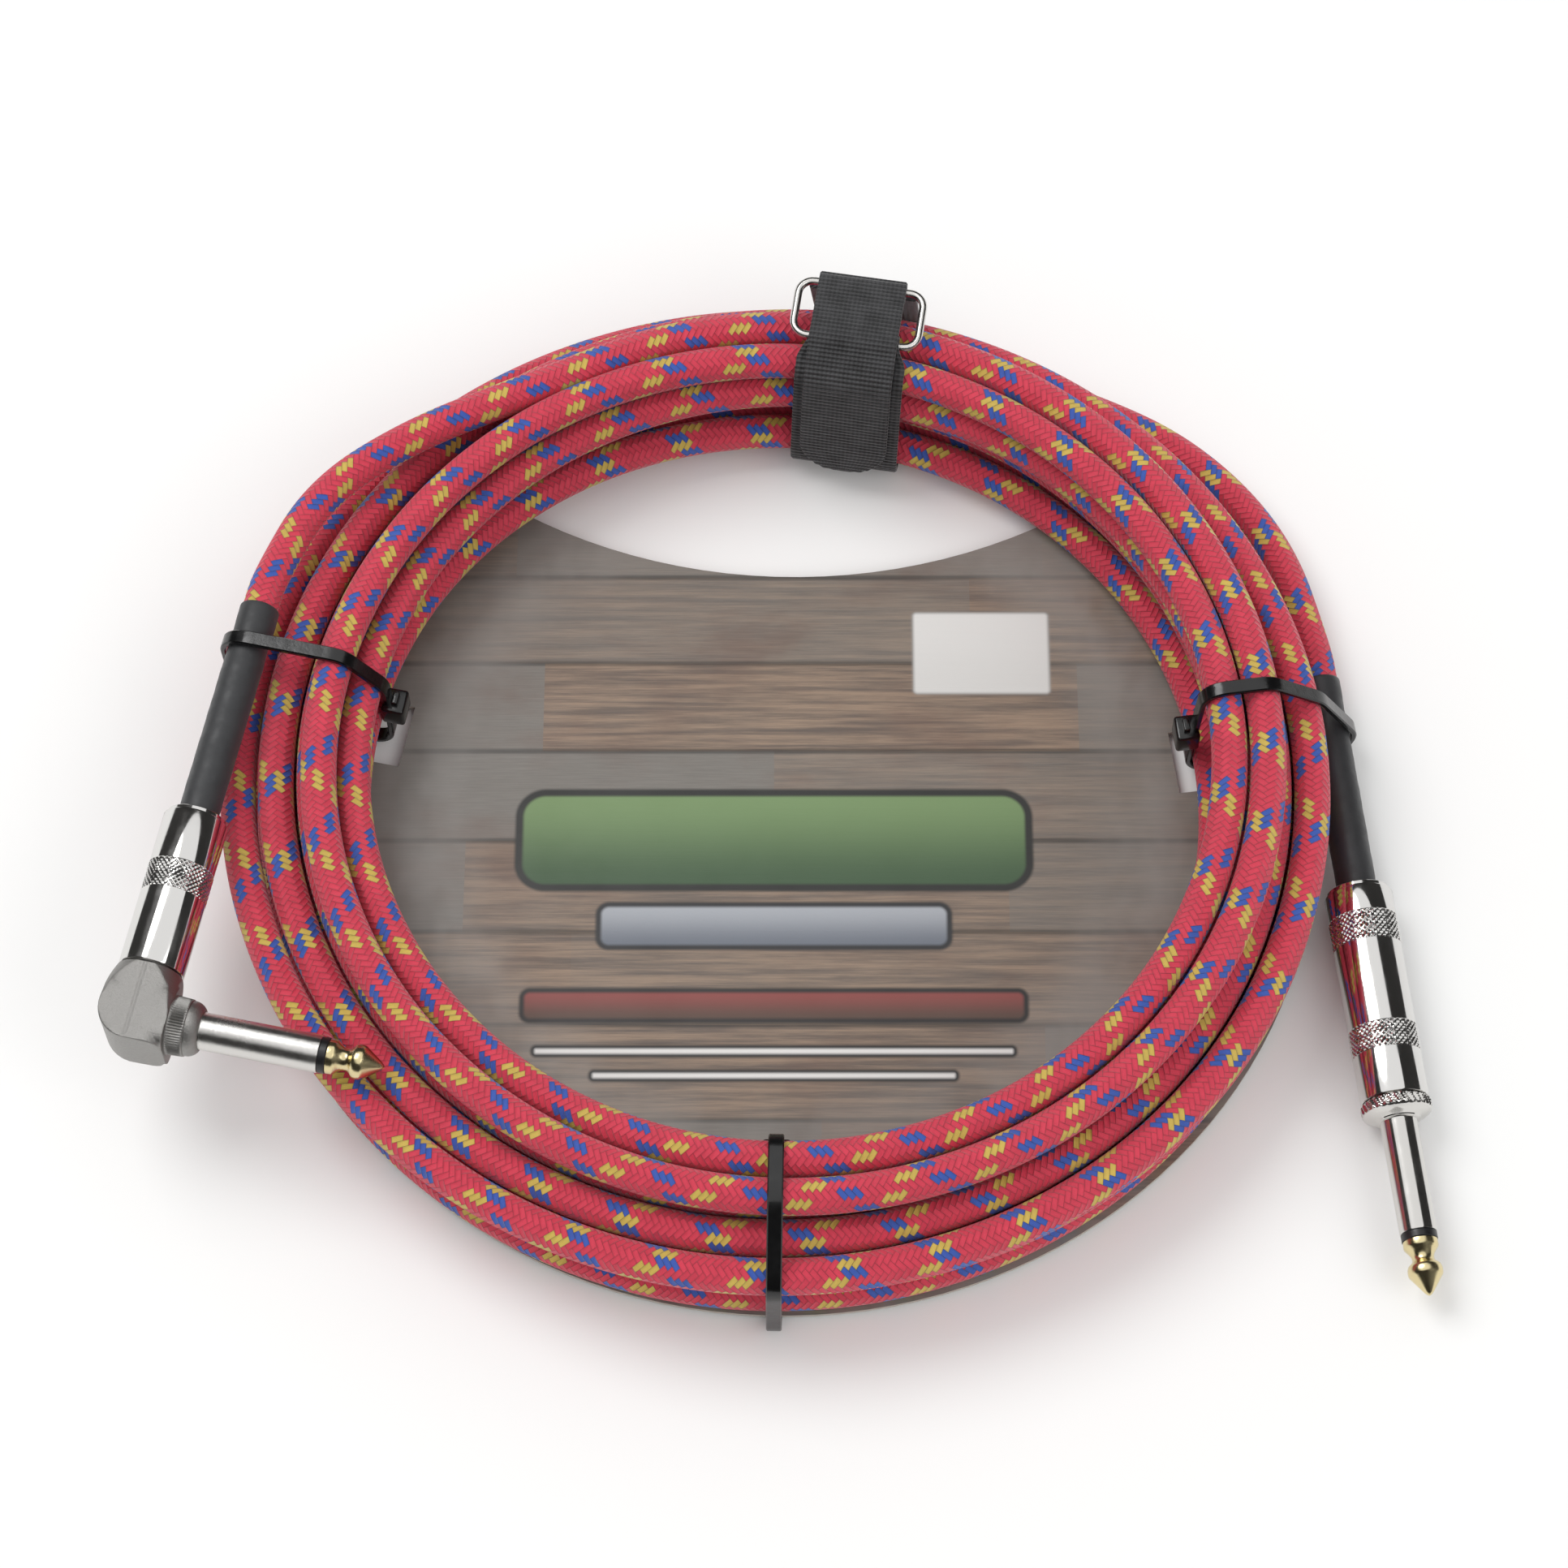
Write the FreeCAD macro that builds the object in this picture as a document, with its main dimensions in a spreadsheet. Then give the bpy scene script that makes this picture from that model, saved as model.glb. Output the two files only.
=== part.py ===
import FreeCAD, Part
import math
import os
import re
import Sketcher

# Instrument cable, coiled and tied on its card: a straight plug lies beside the coil at the right,
# a right-angle plug lies on its left shoulder, and every size below is in millimetres.

Vector = FreeCAD.Vector
up = Vector(0, 0, 1)

sizes = {
    # cord and coil
    "cord_width": 6.2,
    "coil_section": 5.0,
    "coil_start_radius": 94.6,
    "coil_pitch": 6.66,
    "layer_step": 6.65,
    "turns_each_way": 3.15,
    "coil_start_angle": 56.0,
    "coil_end_angle": 124.0,
    "coil_whole_turns": 11.0,
    "cord_base": 5.1,
    # phone plug shaft, the same on both plugs
    "shaft_radius": 3.175,
    "shaft_length": 20.3,
    "ring_width": 1.3,
    "ring_radius": 2.95,
    "tip_length": 9.6,
    "tip_radius": 2.95,
    "tip_collar_end": 1.6,
    "tip_ball_start": 4.4,
    "tip_ball_end": 6.4,
    "tip_point_radius": 0.6,
    "neck_radius": 1.8,
    "rod_radius": 1.0,
    "rod_cover_radius": 1.6,
    "loose_fit": 0.02,
    "corner_factor": 1.04,
    # straight plug
    "straight_x": 103.8,
    "straight_y": -60.5,
    "straight_z": 6.15,
    "straight_heading": -84.0,
    "flange_radius": 6.05,
    "flange_width": 3.1,
    "thread_radius": 4.6,
    "thread_end": 11.5,
    "straight_front": 3.4,
    "straight_rear": 42.7,
    "straight_barrel_radius": 5.9,
    # right-angle plug
    "angle_x": -107.5,
    "angle_y": -49.5,
    "angle_z": 24.8,
    "angle_heading": -12.0,
    "elbow_reach": 11.2,
    "elbow_radius": 5.8,
    "elbow_flat": 5.3,
    "elbow_neck_radius": 5.2,
    "elbow_neck_width": 5.3,
    "elbow_top": 8.2,
    "stub_end": 13.0,
    "stub_bore": 3.0,
    "cavity_depth": 3.5,
    "tube_start": 2.5,
    "cover_start": 1.0,
    "angle_front": 8.5,
    "angle_rear": 37.7,
    "angle_barrel_radius": 5.6,
    # barrel, liner and boot
    "barrel_bore": 4.95,
    "barrel_wall": 2.5,
    "boot_hole": 3.8,
    "liner_outer": 4.65,
    "liner_inner": 4.3,
    "liner_gap": 0.3,
    "boot_radius": 3.5,
    "boot_bore": 3.1,
    "lead_radius": 3.05,
    "boot_visible": 41.0,
    "boot_inside": 1.5,
    # terminals and clamp
    "plate": 0.5,
    "washer_width": 1.0,
    "washer_radius": 3.2,
    "lug_width": 3.6,
    "lug_height": 1.8,
    "rod_end": 1.0,
    "straight_tongue": 8.0,
    "angle_tongue": 15.0,
    "clamp_inner": 3.2,
    "clamp_outer": 3.75,
    "clamp_opening": 1.2,
    "clamp_length": 4.0,
    "clamp_set_back": 2.0,
    "clamp_ring_radius": 4.1,
    "clamp_strip_width": 2.2,
    "core_radius": 0.8,
    "straight_core_end": 17.0,
    "angle_core_end": 9.0,
    "straight_cord_end": 27.0,
    "angle_cord_end": 22.0,
    # ties, card and strap
    "tie_width": 2.6,
    "tie_thickness": 1.1,
    "tie_gap": 0.5,
    "tie_head": 4.8,
    "tie_head_base": 11.0,
    "tie_stub_length": 9.0,
    "tie_stub_offset": 1.6,
    "card_radius": 93.5,
    "card_thickness": 0.8,
    "bite_radius": 99.0,
    "bite_x": 2.0,
    "bite_y": 145.5,
    "slot_length": 12.0,
    "slot_width": 6.5,
    "strap_width": 19.5,
    "strap_thickness": 1.2,
    "strap_gap": 0.5,
    "strap_angle": 81.0,
    "tail_width": 16.0,
    "tail_gap": 0.8,
    "tail_end": 13.0,
    "hook_thickness": 0.5,
    "hook_length": 6.0,
    "ring_wire": 0.75,
    "ring_span": 22.5,
    "ring_corner": 1.6,
    "ring_near_bar": 79.6,
    "ring_far_bar": 90.0,
    "ring_far_rise": 1.5,
    "knuckle_radius": 1.95,
    "knuckle_bore": 0.95,
    "peel_gap": 0.3,
}

tieAngles = {"tie_left": 168.0, "tie_right": 7.5, "tie_bottom": 269.0}

doc = FreeCAD.newDocument("InstrumentCable")
sheet = doc.addObject("Spreadsheet::Sheet", "Sizes")
for row, (name, value) in enumerate(sizes.items(), start=1):
    sheet.set("A%d" % row, name)
    sheet.set("B%d" % row, str(value))
    sheet.setAlias("B%d" % row, name)
doc.recompute()


def size(name):
    return float(sheet.get(name))


def linked(text):
    """Words become cells of the sheet."""
    return re.sub(r"\b([a-z][a-z_]+)\b", r"Sizes.\1", text)


def valueOf(text):
    return float(sheet.evalExpression(linked(text)))


nodes = []


def node(thing, label, place=None):
    thing.Label = label
    if place is not None:
        thing.Placement = place
    nodes.append(thing)
    return thing


def placeAt(x, y, z, heading):
    return FreeCAD.Placement(Vector(x, y, z), FreeCAD.Rotation(up, heading))


# the plugs' own frames: +X runs along the shaft to the tip
straightPlace = placeAt(size("straight_x"), size("straight_y"), size("straight_z"),
                        size("straight_heading"))
anglePlace = placeAt(size("angle_x"), size("angle_y"), size("angle_z"), size("angle_heading"))
# the right-angle plug's barrel runs square to its shaft, its rear towards -X here
angleRearPlace = placeAt(size("angle_x"), size("angle_y"), size("angle_z"),
                         size("angle_heading") - 90)


def originPart(body, role):
    for feature in body.Origin.OriginFeatures:
        if feature.Role == role:
            return feature
    raise RuntimeError(role)


def outlineSketch(body, name, corners, plane="XY_Plane"):
    """A closed outline of straight sides, each corner fixed by two expressions."""
    sketch = body.newObject("Sketcher::SketchObject", name)
    sketch.AttachmentSupport = [(originPart(body, plane), "")]
    sketch.MapMode = "FlatFace"
    points = [Vector(valueOf(x), valueOf(y), 0) for x, y in corners]
    for i, point in enumerate(points):
        sketch.addGeometry(Part.LineSegment(point, points[(i + 1) % len(points)]), False)
    for i in range(len(points)):
        sketch.addConstraint(Sketcher.Constraint("Coincident", i, 2, (i + 1) % len(points), 1))
    for i, (x, y) in enumerate(corners):
        for kind, text, value in (("DistanceX", x, points[i].x), ("DistanceY", y, points[i].y)):
            item = sketch.addConstraint(Sketcher.Constraint(kind, -1, 1, i, 1, value))
            sketch.setExpression("Constraints[%d]" % item, linked(text))
    return sketch


def turn(body, name, corners, axis="H_Axis", angle=360.0):
    sketch = outlineSketch(body, name + "_outline", corners)
    feature = body.newObject("PartDesign::Revolution", name)
    feature.Profile = sketch
    feature.ReferenceAxis = (sketch, [axis])
    feature.Angle = angle
    doc.recompute()
    return feature


def turnedBody(label, corners, place):
    body = doc.addObject("PartDesign::Body", label)
    turn(body, label + "_turned", corners)
    return node(body, label, place)


def axialPlace(x, y, z, direction):
    """Where a primitive that stands on +Z stands along direction instead."""
    return FreeCAD.Placement(Vector(x, y, z), FreeCAD.Rotation(up, Vector(*direction)))


def cutAway(body, kind, name, place, **dimensions):
    """A primitive cut out of the body, its dimensions given as expressions."""
    feature = body.newObject("PartDesign::Subtractive" + kind, name)
    for key, text in dimensions.items():
        feature.setExpression(key, linked(text))
    feature.Placement = place
    doc.recompute()
    return feature


def sidedSolid(body, kind, name, start, end, radius):
    """A twelve-sided prism along +X, added to the body or cut out of it."""
    prism = body.newObject("PartDesign::%sPrism" % kind, name)
    prism.Polygon = 12
    prism.setExpression("Circumradius", linked(radius))
    prism.setExpression("Height", linked("%s - (%s)" % (end, start)))
    prism.Placement = axialPlace(valueOf(start), 0, 0, (1, 0, 0))
    doc.recompute()
    return prism


# tip contact with its rod, insulator and shank: the same on both plugs but for their rear ends

def tipOutline(start, rodEnd):
    base = "%s + shaft_length + ring_width" % start
    return [
        (rodEnd, "0"),
        (rodEnd, "rod_radius"),
        (base, "rod_radius"),
        (base, "tip_radius"),
        (base + " + tip_collar_end", "tip_radius"),
        (base + " + tip_collar_end", "neck_radius"),
        (base + " + tip_ball_start", "neck_radius"),
        (base + " + tip_ball_start", "tip_radius"),
        (base + " + tip_ball_end", "tip_radius"),
        (base + " + tip_length", "tip_point_radius"),
        (base + " + tip_length", "0"),
    ]


def insulator(label, start, rear, place):
    """The black ring before the tip, with the sleeve that runs back round the rod."""
    front = "%s + shaft_length" % start
    body = doc.addObject("PartDesign::Body", label)
    turn(body, label + "_ring", [(front, "0"), (front, "ring_radius"),
                                 (front + " + ring_width", "ring_radius"),
                                 (front + " + ring_width", "0")])
    sidedSolid(body, "Additive", label + "_sleeve", rear, front, "rod_cover_radius")
    sidedSolid(body, "Subtractive", label + "_bore", rear, front + " + ring_width",
               "(rod_radius + loose_fit) * corner_factor")
    return node(body, label, place)


def shank(label, corners, start, place):
    """A turned sleeve with a twelve-sided hole for the insulator, from start to its front end."""
    body = doc.addObject("PartDesign::Body", label)
    turn(body, label + "_turned", corners)
    sidedSolid(body, "Subtractive", label + "_bore", start, corners[-1][0],
               "rod_cover_radius + loose_fit")
    return node(body, label, place)


straightRodEnd = "-thread_end - washer_width - 2 * plate - rod_end"
turnedBody("straight_tip", tipOutline("0", straightRodEnd), straightPlace)
insulator("straight_insulator", "0", "-thread_end", straightPlace)
turnedBody("angle_tip", tipOutline("elbow_reach", "-3 * plate - rod_end"), anglePlace)
insulator("angle_insulator", "elbow_reach", "cover_start", anglePlace)

shank("straight_shank", [
    ("-thread_end", "0"),
    ("-thread_end", "thread_radius"),
    ("-flange_width", "thread_radius"),
    ("-flange_width", "flange_radius"),
    ("0", "flange_radius"),
    ("0", "shaft_radius"),
    ("shaft_length", "shaft_radius"),
    ("shaft_length", "0"),
], "-thread_end", straightPlace)

shank("angle_shank", [
    ("tube_start", "0"),
    ("tube_start", "shaft_radius"),
    ("elbow_reach + shaft_length", "shaft_radius"),
    ("elbow_reach + shaft_length", "0"),
], "tube_start", anglePlace)

# die-cast elbow: two round arms that meet on a round corner, flat above and below
elbow = doc.addObject("PartDesign::Body", "angle_elbow")
turn(elbow, "shaft_arm", [
    ("0", "0"),
    ("0", "elbow_radius"),
    ("elbow_reach - elbow_neck_width", "elbow_radius"),
    ("elbow_reach - elbow_neck_width", "elbow_neck_radius"),
    ("elbow_reach", "elbow_neck_radius"),
    ("elbow_reach", "0"),
])
turn(elbow, "barrel_arm", [
    ("0", "0"),
    ("elbow_radius", "0"),
    ("elbow_radius", "elbow_top"),
    ("thread_radius", "elbow_top"),
    ("thread_radius", "stub_end"),
    ("0", "stub_end"),
], axis="V_Axis")
corner = elbow.newObject("PartDesign::AdditiveCylinder", "round_corner")
corner.setExpression("Radius", linked("elbow_radius"))
corner.setExpression("Height", linked("2 * elbow_flat"))
corner.Placement = placeAt(0, 0, -size("elbow_flat"), 0)
doc.recompute()
margin = 2 * size("elbow_radius")
for side, turnAngle in (("upper", 0), ("lower", 180)):
    flip = FreeCAD.Rotation(Vector(1, 0, 0), turnAngle)
    edge = flip.multVec(Vector(-margin, -margin, size("elbow_flat")))
    cutAway(elbow, "Box", side + "_flat", FreeCAD.Placement(edge, flip),
            Length="2 * elbow_radius + elbow_reach - elbow_neck_width",
            Width="4 * elbow_radius", Height="elbow_radius")
cutAway(elbow, "Cylinder", "barrel_cavity", axialPlace(0, -size("cavity_depth"), 0, (0, 1, 0)),
        Radius="stub_bore", Height="stub_end + cavity_depth")
cutAway(elbow, "Cylinder", "shaft_bore", axialPlace(0, 0, 0, (1, 0, 0)),
        Radius="shaft_radius + loose_fit", Height="elbow_reach")
node(elbow, "angle_elbow", anglePlace)


# barrel, liner, boot, cord end and soldered parts behind each plug, +X towards the plug's front

def barrelOutline(front, rear, radius):
    return [
        ("-" + rear, "boot_hole"),
        ("-" + rear, radius),
        ("-" + front, radius),
        ("-" + front, "barrel_bore"),
        ("barrel_wall - " + rear, "barrel_bore"),
        ("barrel_wall - " + rear, "boot_hole"),
    ]


def sidedTube(label, place, start, end, outer, inner):
    body = doc.addObject("PartDesign::Body", label)
    sidedSolid(body, "Additive", label + "_solid", start, end, outer)
    sidedSolid(body, "Subtractive", label + "_bore", start, end, inner)
    return node(body, label, place)


def boot(label, place, start, end):
    """Heat-shrink sleeve: round outside, and shaped to the cord inside."""
    body = doc.addObject("PartDesign::Body", label)
    turn(body, label + "_turned", [(start, "0"), (start, "boot_radius"), (end, "boot_radius"),
                                   (end, "0")])
    sidedSolid(body, "Subtractive", label + "_bore", start, end, "boot_bore")
    return node(body, label, place)


def clamp(label, place, bodyEnd, hole, cordEnd):
    """Cord clamp: a ring behind the plug's body, a strip, and two wings bent round the cord."""
    body = doc.addObject("PartDesign::Body", label)
    start, end = "-%s - clamp_length - clamp_set_back" % cordEnd, "-%s - clamp_set_back" % cordEnd
    sidedSolid(body, "Additive", label + "_wings", start, end, "clamp_outer")
    sidedSolid(body, "Subtractive", label + "_seat", start, end, "clamp_inner")
    cutAway(body, "Box", label + "_opening",
            placeAt(valueOf(start), -size("clamp_outer"), size("clamp_opening"), 0),
            Length="clamp_length", Width="2 * clamp_outer", Height="clamp_outer")
    strip = body.newObject("PartDesign::AdditiveBox", label + "_strip")
    strip.setExpression("Length", linked("%s - %s + clamp_set_back + 1" % (cordEnd, bodyEnd)))
    strip.setExpression("Width", linked("clamp_strip_width"))
    strip.setExpression("Height", linked("plate"))
    strip.Placement = placeAt(-valueOf(cordEnd + " + clamp_set_back + 1"),
                              -valueOf("clamp_strip_width / 2"),
                              -valueOf("clamp_inner + plate"), 0)
    doc.recompute()
    sidedSolid(body, "Additive", label + "_ring", "-%s - plate" % bodyEnd, "-" + bodyEnd,
               "clamp_ring_radius")
    sidedSolid(body, "Subtractive", label + "_hole", "-%s - plate" % bodyEnd, "-" + bodyEnd, hole)
    return node(body, label, place)


def rearParts(plug, place, front, rear, radius, bodyEnd, clampHole, cordEnd):
    turnedBody(plug + "_barrel", barrelOutline(front, rear, radius), place)
    sidedTube(plug + "_liner", place, "barrel_wall + liner_gap - " + rear,
              "-%s - clamp_set_back" % bodyEnd, "liner_outer", "liner_inner")
    boot(plug + "_boot", place, "-%s - boot_visible" % rear, "boot_inside - %s" % rear)
    clamp(plug + "_clamp", place, bodyEnd, clampHole, cordEnd)

    lead = doc.addObject("Part::Prism", plug + "_lead")
    lead.Polygon = 12
    lead.setExpression("Circumradius", linked("lead_radius"))
    lead.setExpression("Height", linked("%s + boot_visible - %s" % (rear, cordEnd)))
    node(lead, plug + "_lead", place.multiply(axialPlace(
        -valueOf(rear + " + boot_visible"), 0, 0, (1, 0, 0))))


rearParts("straight", straightPlace, "straight_front", "straight_rear", "straight_barrel_radius",
          "thread_end", "rod_cover_radius + loose_fit", "straight_cord_end")
rearParts("angle", angleRearPlace, "angle_front", "angle_rear", "angle_barrel_radius",
          "stub_end", "stub_bore", "angle_cord_end")

# straight plug: washer behind the shank, then the tip's soldering lug and the inner conductor
sidedTube("straight_washer", straightPlace, "-thread_end - plate - washer_width",
          "-thread_end - plate", "washer_radius", "rod_cover_radius + loose_fit")


def lug(label, place, plane, tonguePlace, length):
    """Soldering lug: a holed plate on the rod, with a tongue that runs back along the cord."""
    body = doc.addObject("PartDesign::Body", label)
    half = size("lug_width") / 2
    plate = body.newObject("PartDesign::AdditiveBox", label + "_plate")
    plate.setExpression("Length", linked("plate"))
    plate.setExpression("Width", linked("lug_width"))
    plate.setExpression("Height", linked("lug_width"))
    plate.Placement = placeAt(plane, -half, -half, 0)
    tongue = body.newObject("PartDesign::AdditiveBox", label + "_tongue")
    tongue.setExpression("Length", linked(length))
    tongue.setExpression("Width", linked("lug_width / 2"))
    tongue.setExpression("Height", linked("plate"))
    tongue.Placement = tonguePlace
    doc.recompute()
    hole = cutAway(body, "Prism", label + "_hole", axialPlace(plane, 0, 0, (1, 0, 0)),
                   Circumradius="(rod_radius + loose_fit) * corner_factor", Height="plate")
    hole.Polygon = 12
    doc.recompute()
    return node(body, label, place)


def core(label, place, start, end, side, lift):
    """The inner conductor, from the cord's cut end to the lug that it is soldered to."""
    wire = doc.addObject("Part::Prism", label)
    wire.Polygon = 8
    wire.setExpression("Circumradius", linked("core_radius"))
    wire.setExpression("Height", linked("%s - %s" % (start, end)))
    flatSide = FreeCAD.Rotation(up, 22.5)
    lying = axialPlace(-valueOf(start), side, lift, (1, 0, 0))
    return node(wire, label, place.multiply(lying.multiply(FreeCAD.Placement(Vector(), flatSide))))


coreReach = size("core_radius") * math.cos(math.pi / 8)
lugPlane = -valueOf("thread_end + washer_width + 2 * plate")
quarterLug = size("lug_width") / 4
lug("straight_lug", straightPlace, lugPlane,
    placeAt(lugPlane - size("straight_tongue"), -quarterLug, valueOf("lug_height - plate"), 0),
    "straight_tongue + plate")
core("straight_core", straightPlace, "straight_cord_end", "straight_core_end", 0,
     valueOf("lug_height - plate") - coreReach)

# the right-angle plug's tongue turns the corner: it is flat on its plate and runs down the barrel
angleLugPlane = -3 * size("plate")
lug("angle_lug", anglePlace, angleLugPlane,
    FreeCAD.Placement(Vector(angleLugPlane, quarterLug, -quarterLug),
                      FreeCAD.Rotation(Vector(1, 1, 1), 120)),
    "angle_tongue")
core("angle_core", angleRearPlace, "angle_cord_end", "angle_core_end",
     angleLugPlane + size("plate") + coreReach, 0)


# the coil: one cord wound in and out four times, a layer higher each time that it turns back

coilStart = size("coil_start_angle")
coilEnd = size("coil_end_angle") + 360 * size("coil_whole_turns")
eachWay = 360 * size("turns_each_way")
turnBacks = [coilStart + eachWay * count for count in (1, 2, 3)]


def coilRadius(angle):
    radius, inwards, last = size("coil_start_radius"), -1, coilStart
    for mark in turnBacks + [coilEnd]:
        radius += inwards * size("coil_pitch") * max(min(angle, mark) - last, 0) / 360
        inwards, last = -inwards, mark
    return radius


def coilHeight(angle):
    """Each climb takes the half turn round a place where the spiral turns back."""
    height = size("cord_base")
    for mark in turnBacks:
        part = min(max((angle - mark + 90) / 180, 0), 1)
        height += size("layer_step") * (2 * part ** 2 if part < 0.5 else 1 - 2 * (1 - part) ** 2)
    return height


def coilPoint(angle):
    swing = math.radians(angle)
    return Vector(coilRadius(angle) * math.cos(swing), coilRadius(angle) * math.sin(swing),
                  coilHeight(angle))


def coilTangent(angle, step=0.001):
    return (coilPoint(angle + step) - coilPoint(angle - step)).normalize()


def arcFrom(start, tangent, end):
    """The arc that leaves start along tangent and reaches end, with its radius."""
    chord = end - start
    inward = tangent.cross(chord).cross(tangent).normalize()
    radius = chord.dot(chord) / (2 * chord.dot(inward))
    centre = start + inward * radius
    middle = ((start + end) * 0.5 - centre).normalize()
    return Part.Arc(start, centre + middle * radius, end).toShape(), radius


def biarc(start, startTangent, end, endTangent):
    """Two arcs that meet smoothly, tangent to both ends."""
    chord = end - start
    across = 2 * chord.dot(startTangent + endTangent)
    bend = 2 * (1 - startTangent.dot(endTangent))
    reach = (math.sqrt(across * across + 4 * bend * chord.dot(chord)) - across) / (2 * bend)
    first = start + startTangent * reach
    second = end - endTangent * reach
    meeting = (first + second) * 0.5
    one, oneRadius = arcFrom(start, startTangent, meeting)
    two, twoRadius = arcFrom(meeting, (second - first).normalize(), end)
    return [one, two], [oneRadius, twoRadius]


def mouth(place, rear):
    """Where the cord comes out of a boot, and the way it goes on."""
    point = place.multVec(Vector(-valueOf(rear + " + boot_visible"), 0, 0))
    return point, place.Rotation.multVec(Vector(-1, 0, 0))


def coilPath():
    startMouth, startWay = mouth(straightPlace, "straight_rear")
    endMouth, endWay = mouth(angleRearPlace, "angle_rear")
    stops = [(startMouth + startWay * size("cord_width"), startWay)]
    marks = [coilStart] + turnBacks + [coilEnd]
    for first, last in zip(marks[:-1], marks[1:]):
        quarters = round((last - first) / 90)
        for step in range(quarters):
            angle = first + (last - first) * step / quarters
            stops.append((coilPoint(angle), coilTangent(angle)))
    stops.append((coilPoint(coilEnd), coilTangent(coilEnd)))
    stops.append((endMouth + endWay * size("cord_width"), endWay * -1))
    edges = [Part.LineSegment(startMouth, stops[0][0]).toShape()]
    radii = []
    for (start, startTangent), (end, endTangent) in zip(stops[:-1], stops[1:]):
        arcs, arcRadii = biarc(start, startTangent, end, endTangent)
        edges += arcs
        radii += arcRadii
    edges.append(Part.LineSegment(stops[-1][0], endMouth).toShape())
    print("coil bends: tightest %.1f mm, widest %.1f mm" % (min(radii), max(radii)))
    return Part.Wire(edges)


def squareSection(point, tangent, side):
    across = tangent.cross(up).normalize()
    rise = across.cross(tangent)
    corners = [point + across * (a * side / 2) + rise * (b * side / 2)
               for a, b in ((-1, -1), (1, -1), (1, 1), (-1, 1))]
    return Part.makePolygon(corners + corners[:1])


path = coilPath()
startMouth, startWay = mouth(straightPlace, "straight_rear")
section = squareSection(startMouth, startWay, size("coil_section"))
coilShape = path.makePipeShell([section], True, False)
coil = doc.addObject("Part::Feature", "cord_coil")
coil.Shape = coilShape
node(coil, "cord_coil", FreeCAD.Placement())
expected = path.Length * size("coil_section") ** 2
print("coil: %.0f mm of cord, volume %.0f of %.0f mm3" % (path.Length, coilShape.Volume, expected))

cordPoints = path.discretize(Number=6000)


def crossings(points, angle, aside=0.0):
    """Where a line of points passes the upright plane at this angle, as (radius, height)."""
    turned = FreeCAD.Rotation(up, -angle)
    found = []
    last = turned.multVec(points[0])
    for point in points[1:]:
        here = turned.multVec(point)
        if here.x > 0 and (last.y - aside) * (here.y - aside) < 0:
            part = (aside - last.y) / (here.y - last.y)
            found.append((last.x + (here.x - last.x) * part, last.z + (here.z - last.z) * part))
        last = here
    return found


def leastGap():
    """The least gap between two turns, measured between their square sides."""
    least = 1000.0
    for angle in range(0, 360, 5):
        turns = crossings(cordPoints, angle)
        for i, (radius, height) in enumerate(turns):
            for otherRadius, otherHeight in turns[:i]:
                apart = max(abs(radius - otherRadius), abs(height - otherHeight))
                least = min(least, apart - size("coil_section"))
    return least


def leastRoundGap():
    """The same gap on the round cord, between centre points."""
    least = 1000.0
    for angle in range(0, 360, 5):
        turns = crossings(cordPoints, angle)
        for i, here in enumerate(turns):
            for there in turns[:i]:
                least = min(least, math.dist(here, there) - size("cord_width"))
    return least


print("coil: least gap to itself %.2f mm, %.2f mm for the round cord"
      % (leastGap(), leastRoundGap()))


# ties and strap: closed bands round the section of the bundle that they hold

def bootLine(place, rear):
    end, way = mouth(place, rear)
    return [end, end - way * size("boot_visible")]


def hullOf(points):
    """The convex outline round the points, counter-clockwise."""
    ordered = sorted(set(points))
    sides = []
    for line in (ordered, ordered[::-1]):
        kept = []
        for x, z in line:
            while len(kept) > 1 and ((kept[-1][0] - kept[-2][0]) * (z - kept[-2][1])
                                     <= (kept[-1][1] - kept[-2][1]) * (x - kept[-2][0])):
                kept.pop()
            kept.append((x, z))
        sides += kept[:-1]
    return sides


def bundleAt(angle, aside=(0.0,)):
    """Centres of all cord at this angle; a boot counts as its own wider ring of points."""
    centres = []
    wider = size("boot_radius") - size("cord_width") / 2
    for offset in aside:
        centres += crossings(cordPoints, angle, offset)
        for line in (bootLine(straightPlace, "straight_rear"),
                     bootLine(angleRearPlace, "angle_rear")):
            for x, z in crossings(line, angle, offset):
                centres += [(x - wider, z), (x + wider, z), (x, z - wider), (x, z + wider)]
    return centres


def outlineAt(centres, reach):
    """The flat-sided outline at this distance round the centres, an eighth of a turn a corner."""
    radius = reach / math.cos(math.pi / 8)
    spread = []
    for x, z in centres:
        for k in range(8):
            swing = (k + 0.5) * math.pi / 4
            spread.append((round(x + radius * math.cos(swing), 6),
                           round(z + radius * math.sin(swing), 6)))
    return hullOf(spread)


def outlineFace(outline):
    corners = [Vector(x, 0, z) for x, z in outline]
    return Part.Face(Part.makePolygon(corners + corners[:1]))


def across(face, width):
    """A face in the radial plane becomes a solid of this width, half to each side."""
    solid = face.extrude(Vector(0, width, 0))
    solid.translate(Vector(0, -width / 2, 0))
    return solid


def band(centres, inner, outer, width):
    ring = outlineFace(outlineAt(centres, outer)).cut(outlineFace(outlineAt(centres, inner)))
    return across(ring, width)


def innerSideAt(outline, height):
    """Where the outline's side that faces the coil's middle passes a height."""
    found = []
    for (x, z), (nextX, nextZ) in zip(outline, outline[1:] + outline[:1]):
        if (z - height) * (nextZ - height) < 0:
            found.append(x + (nextX - x) * (height - z) / (nextZ - z))
    return min(found)


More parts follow.
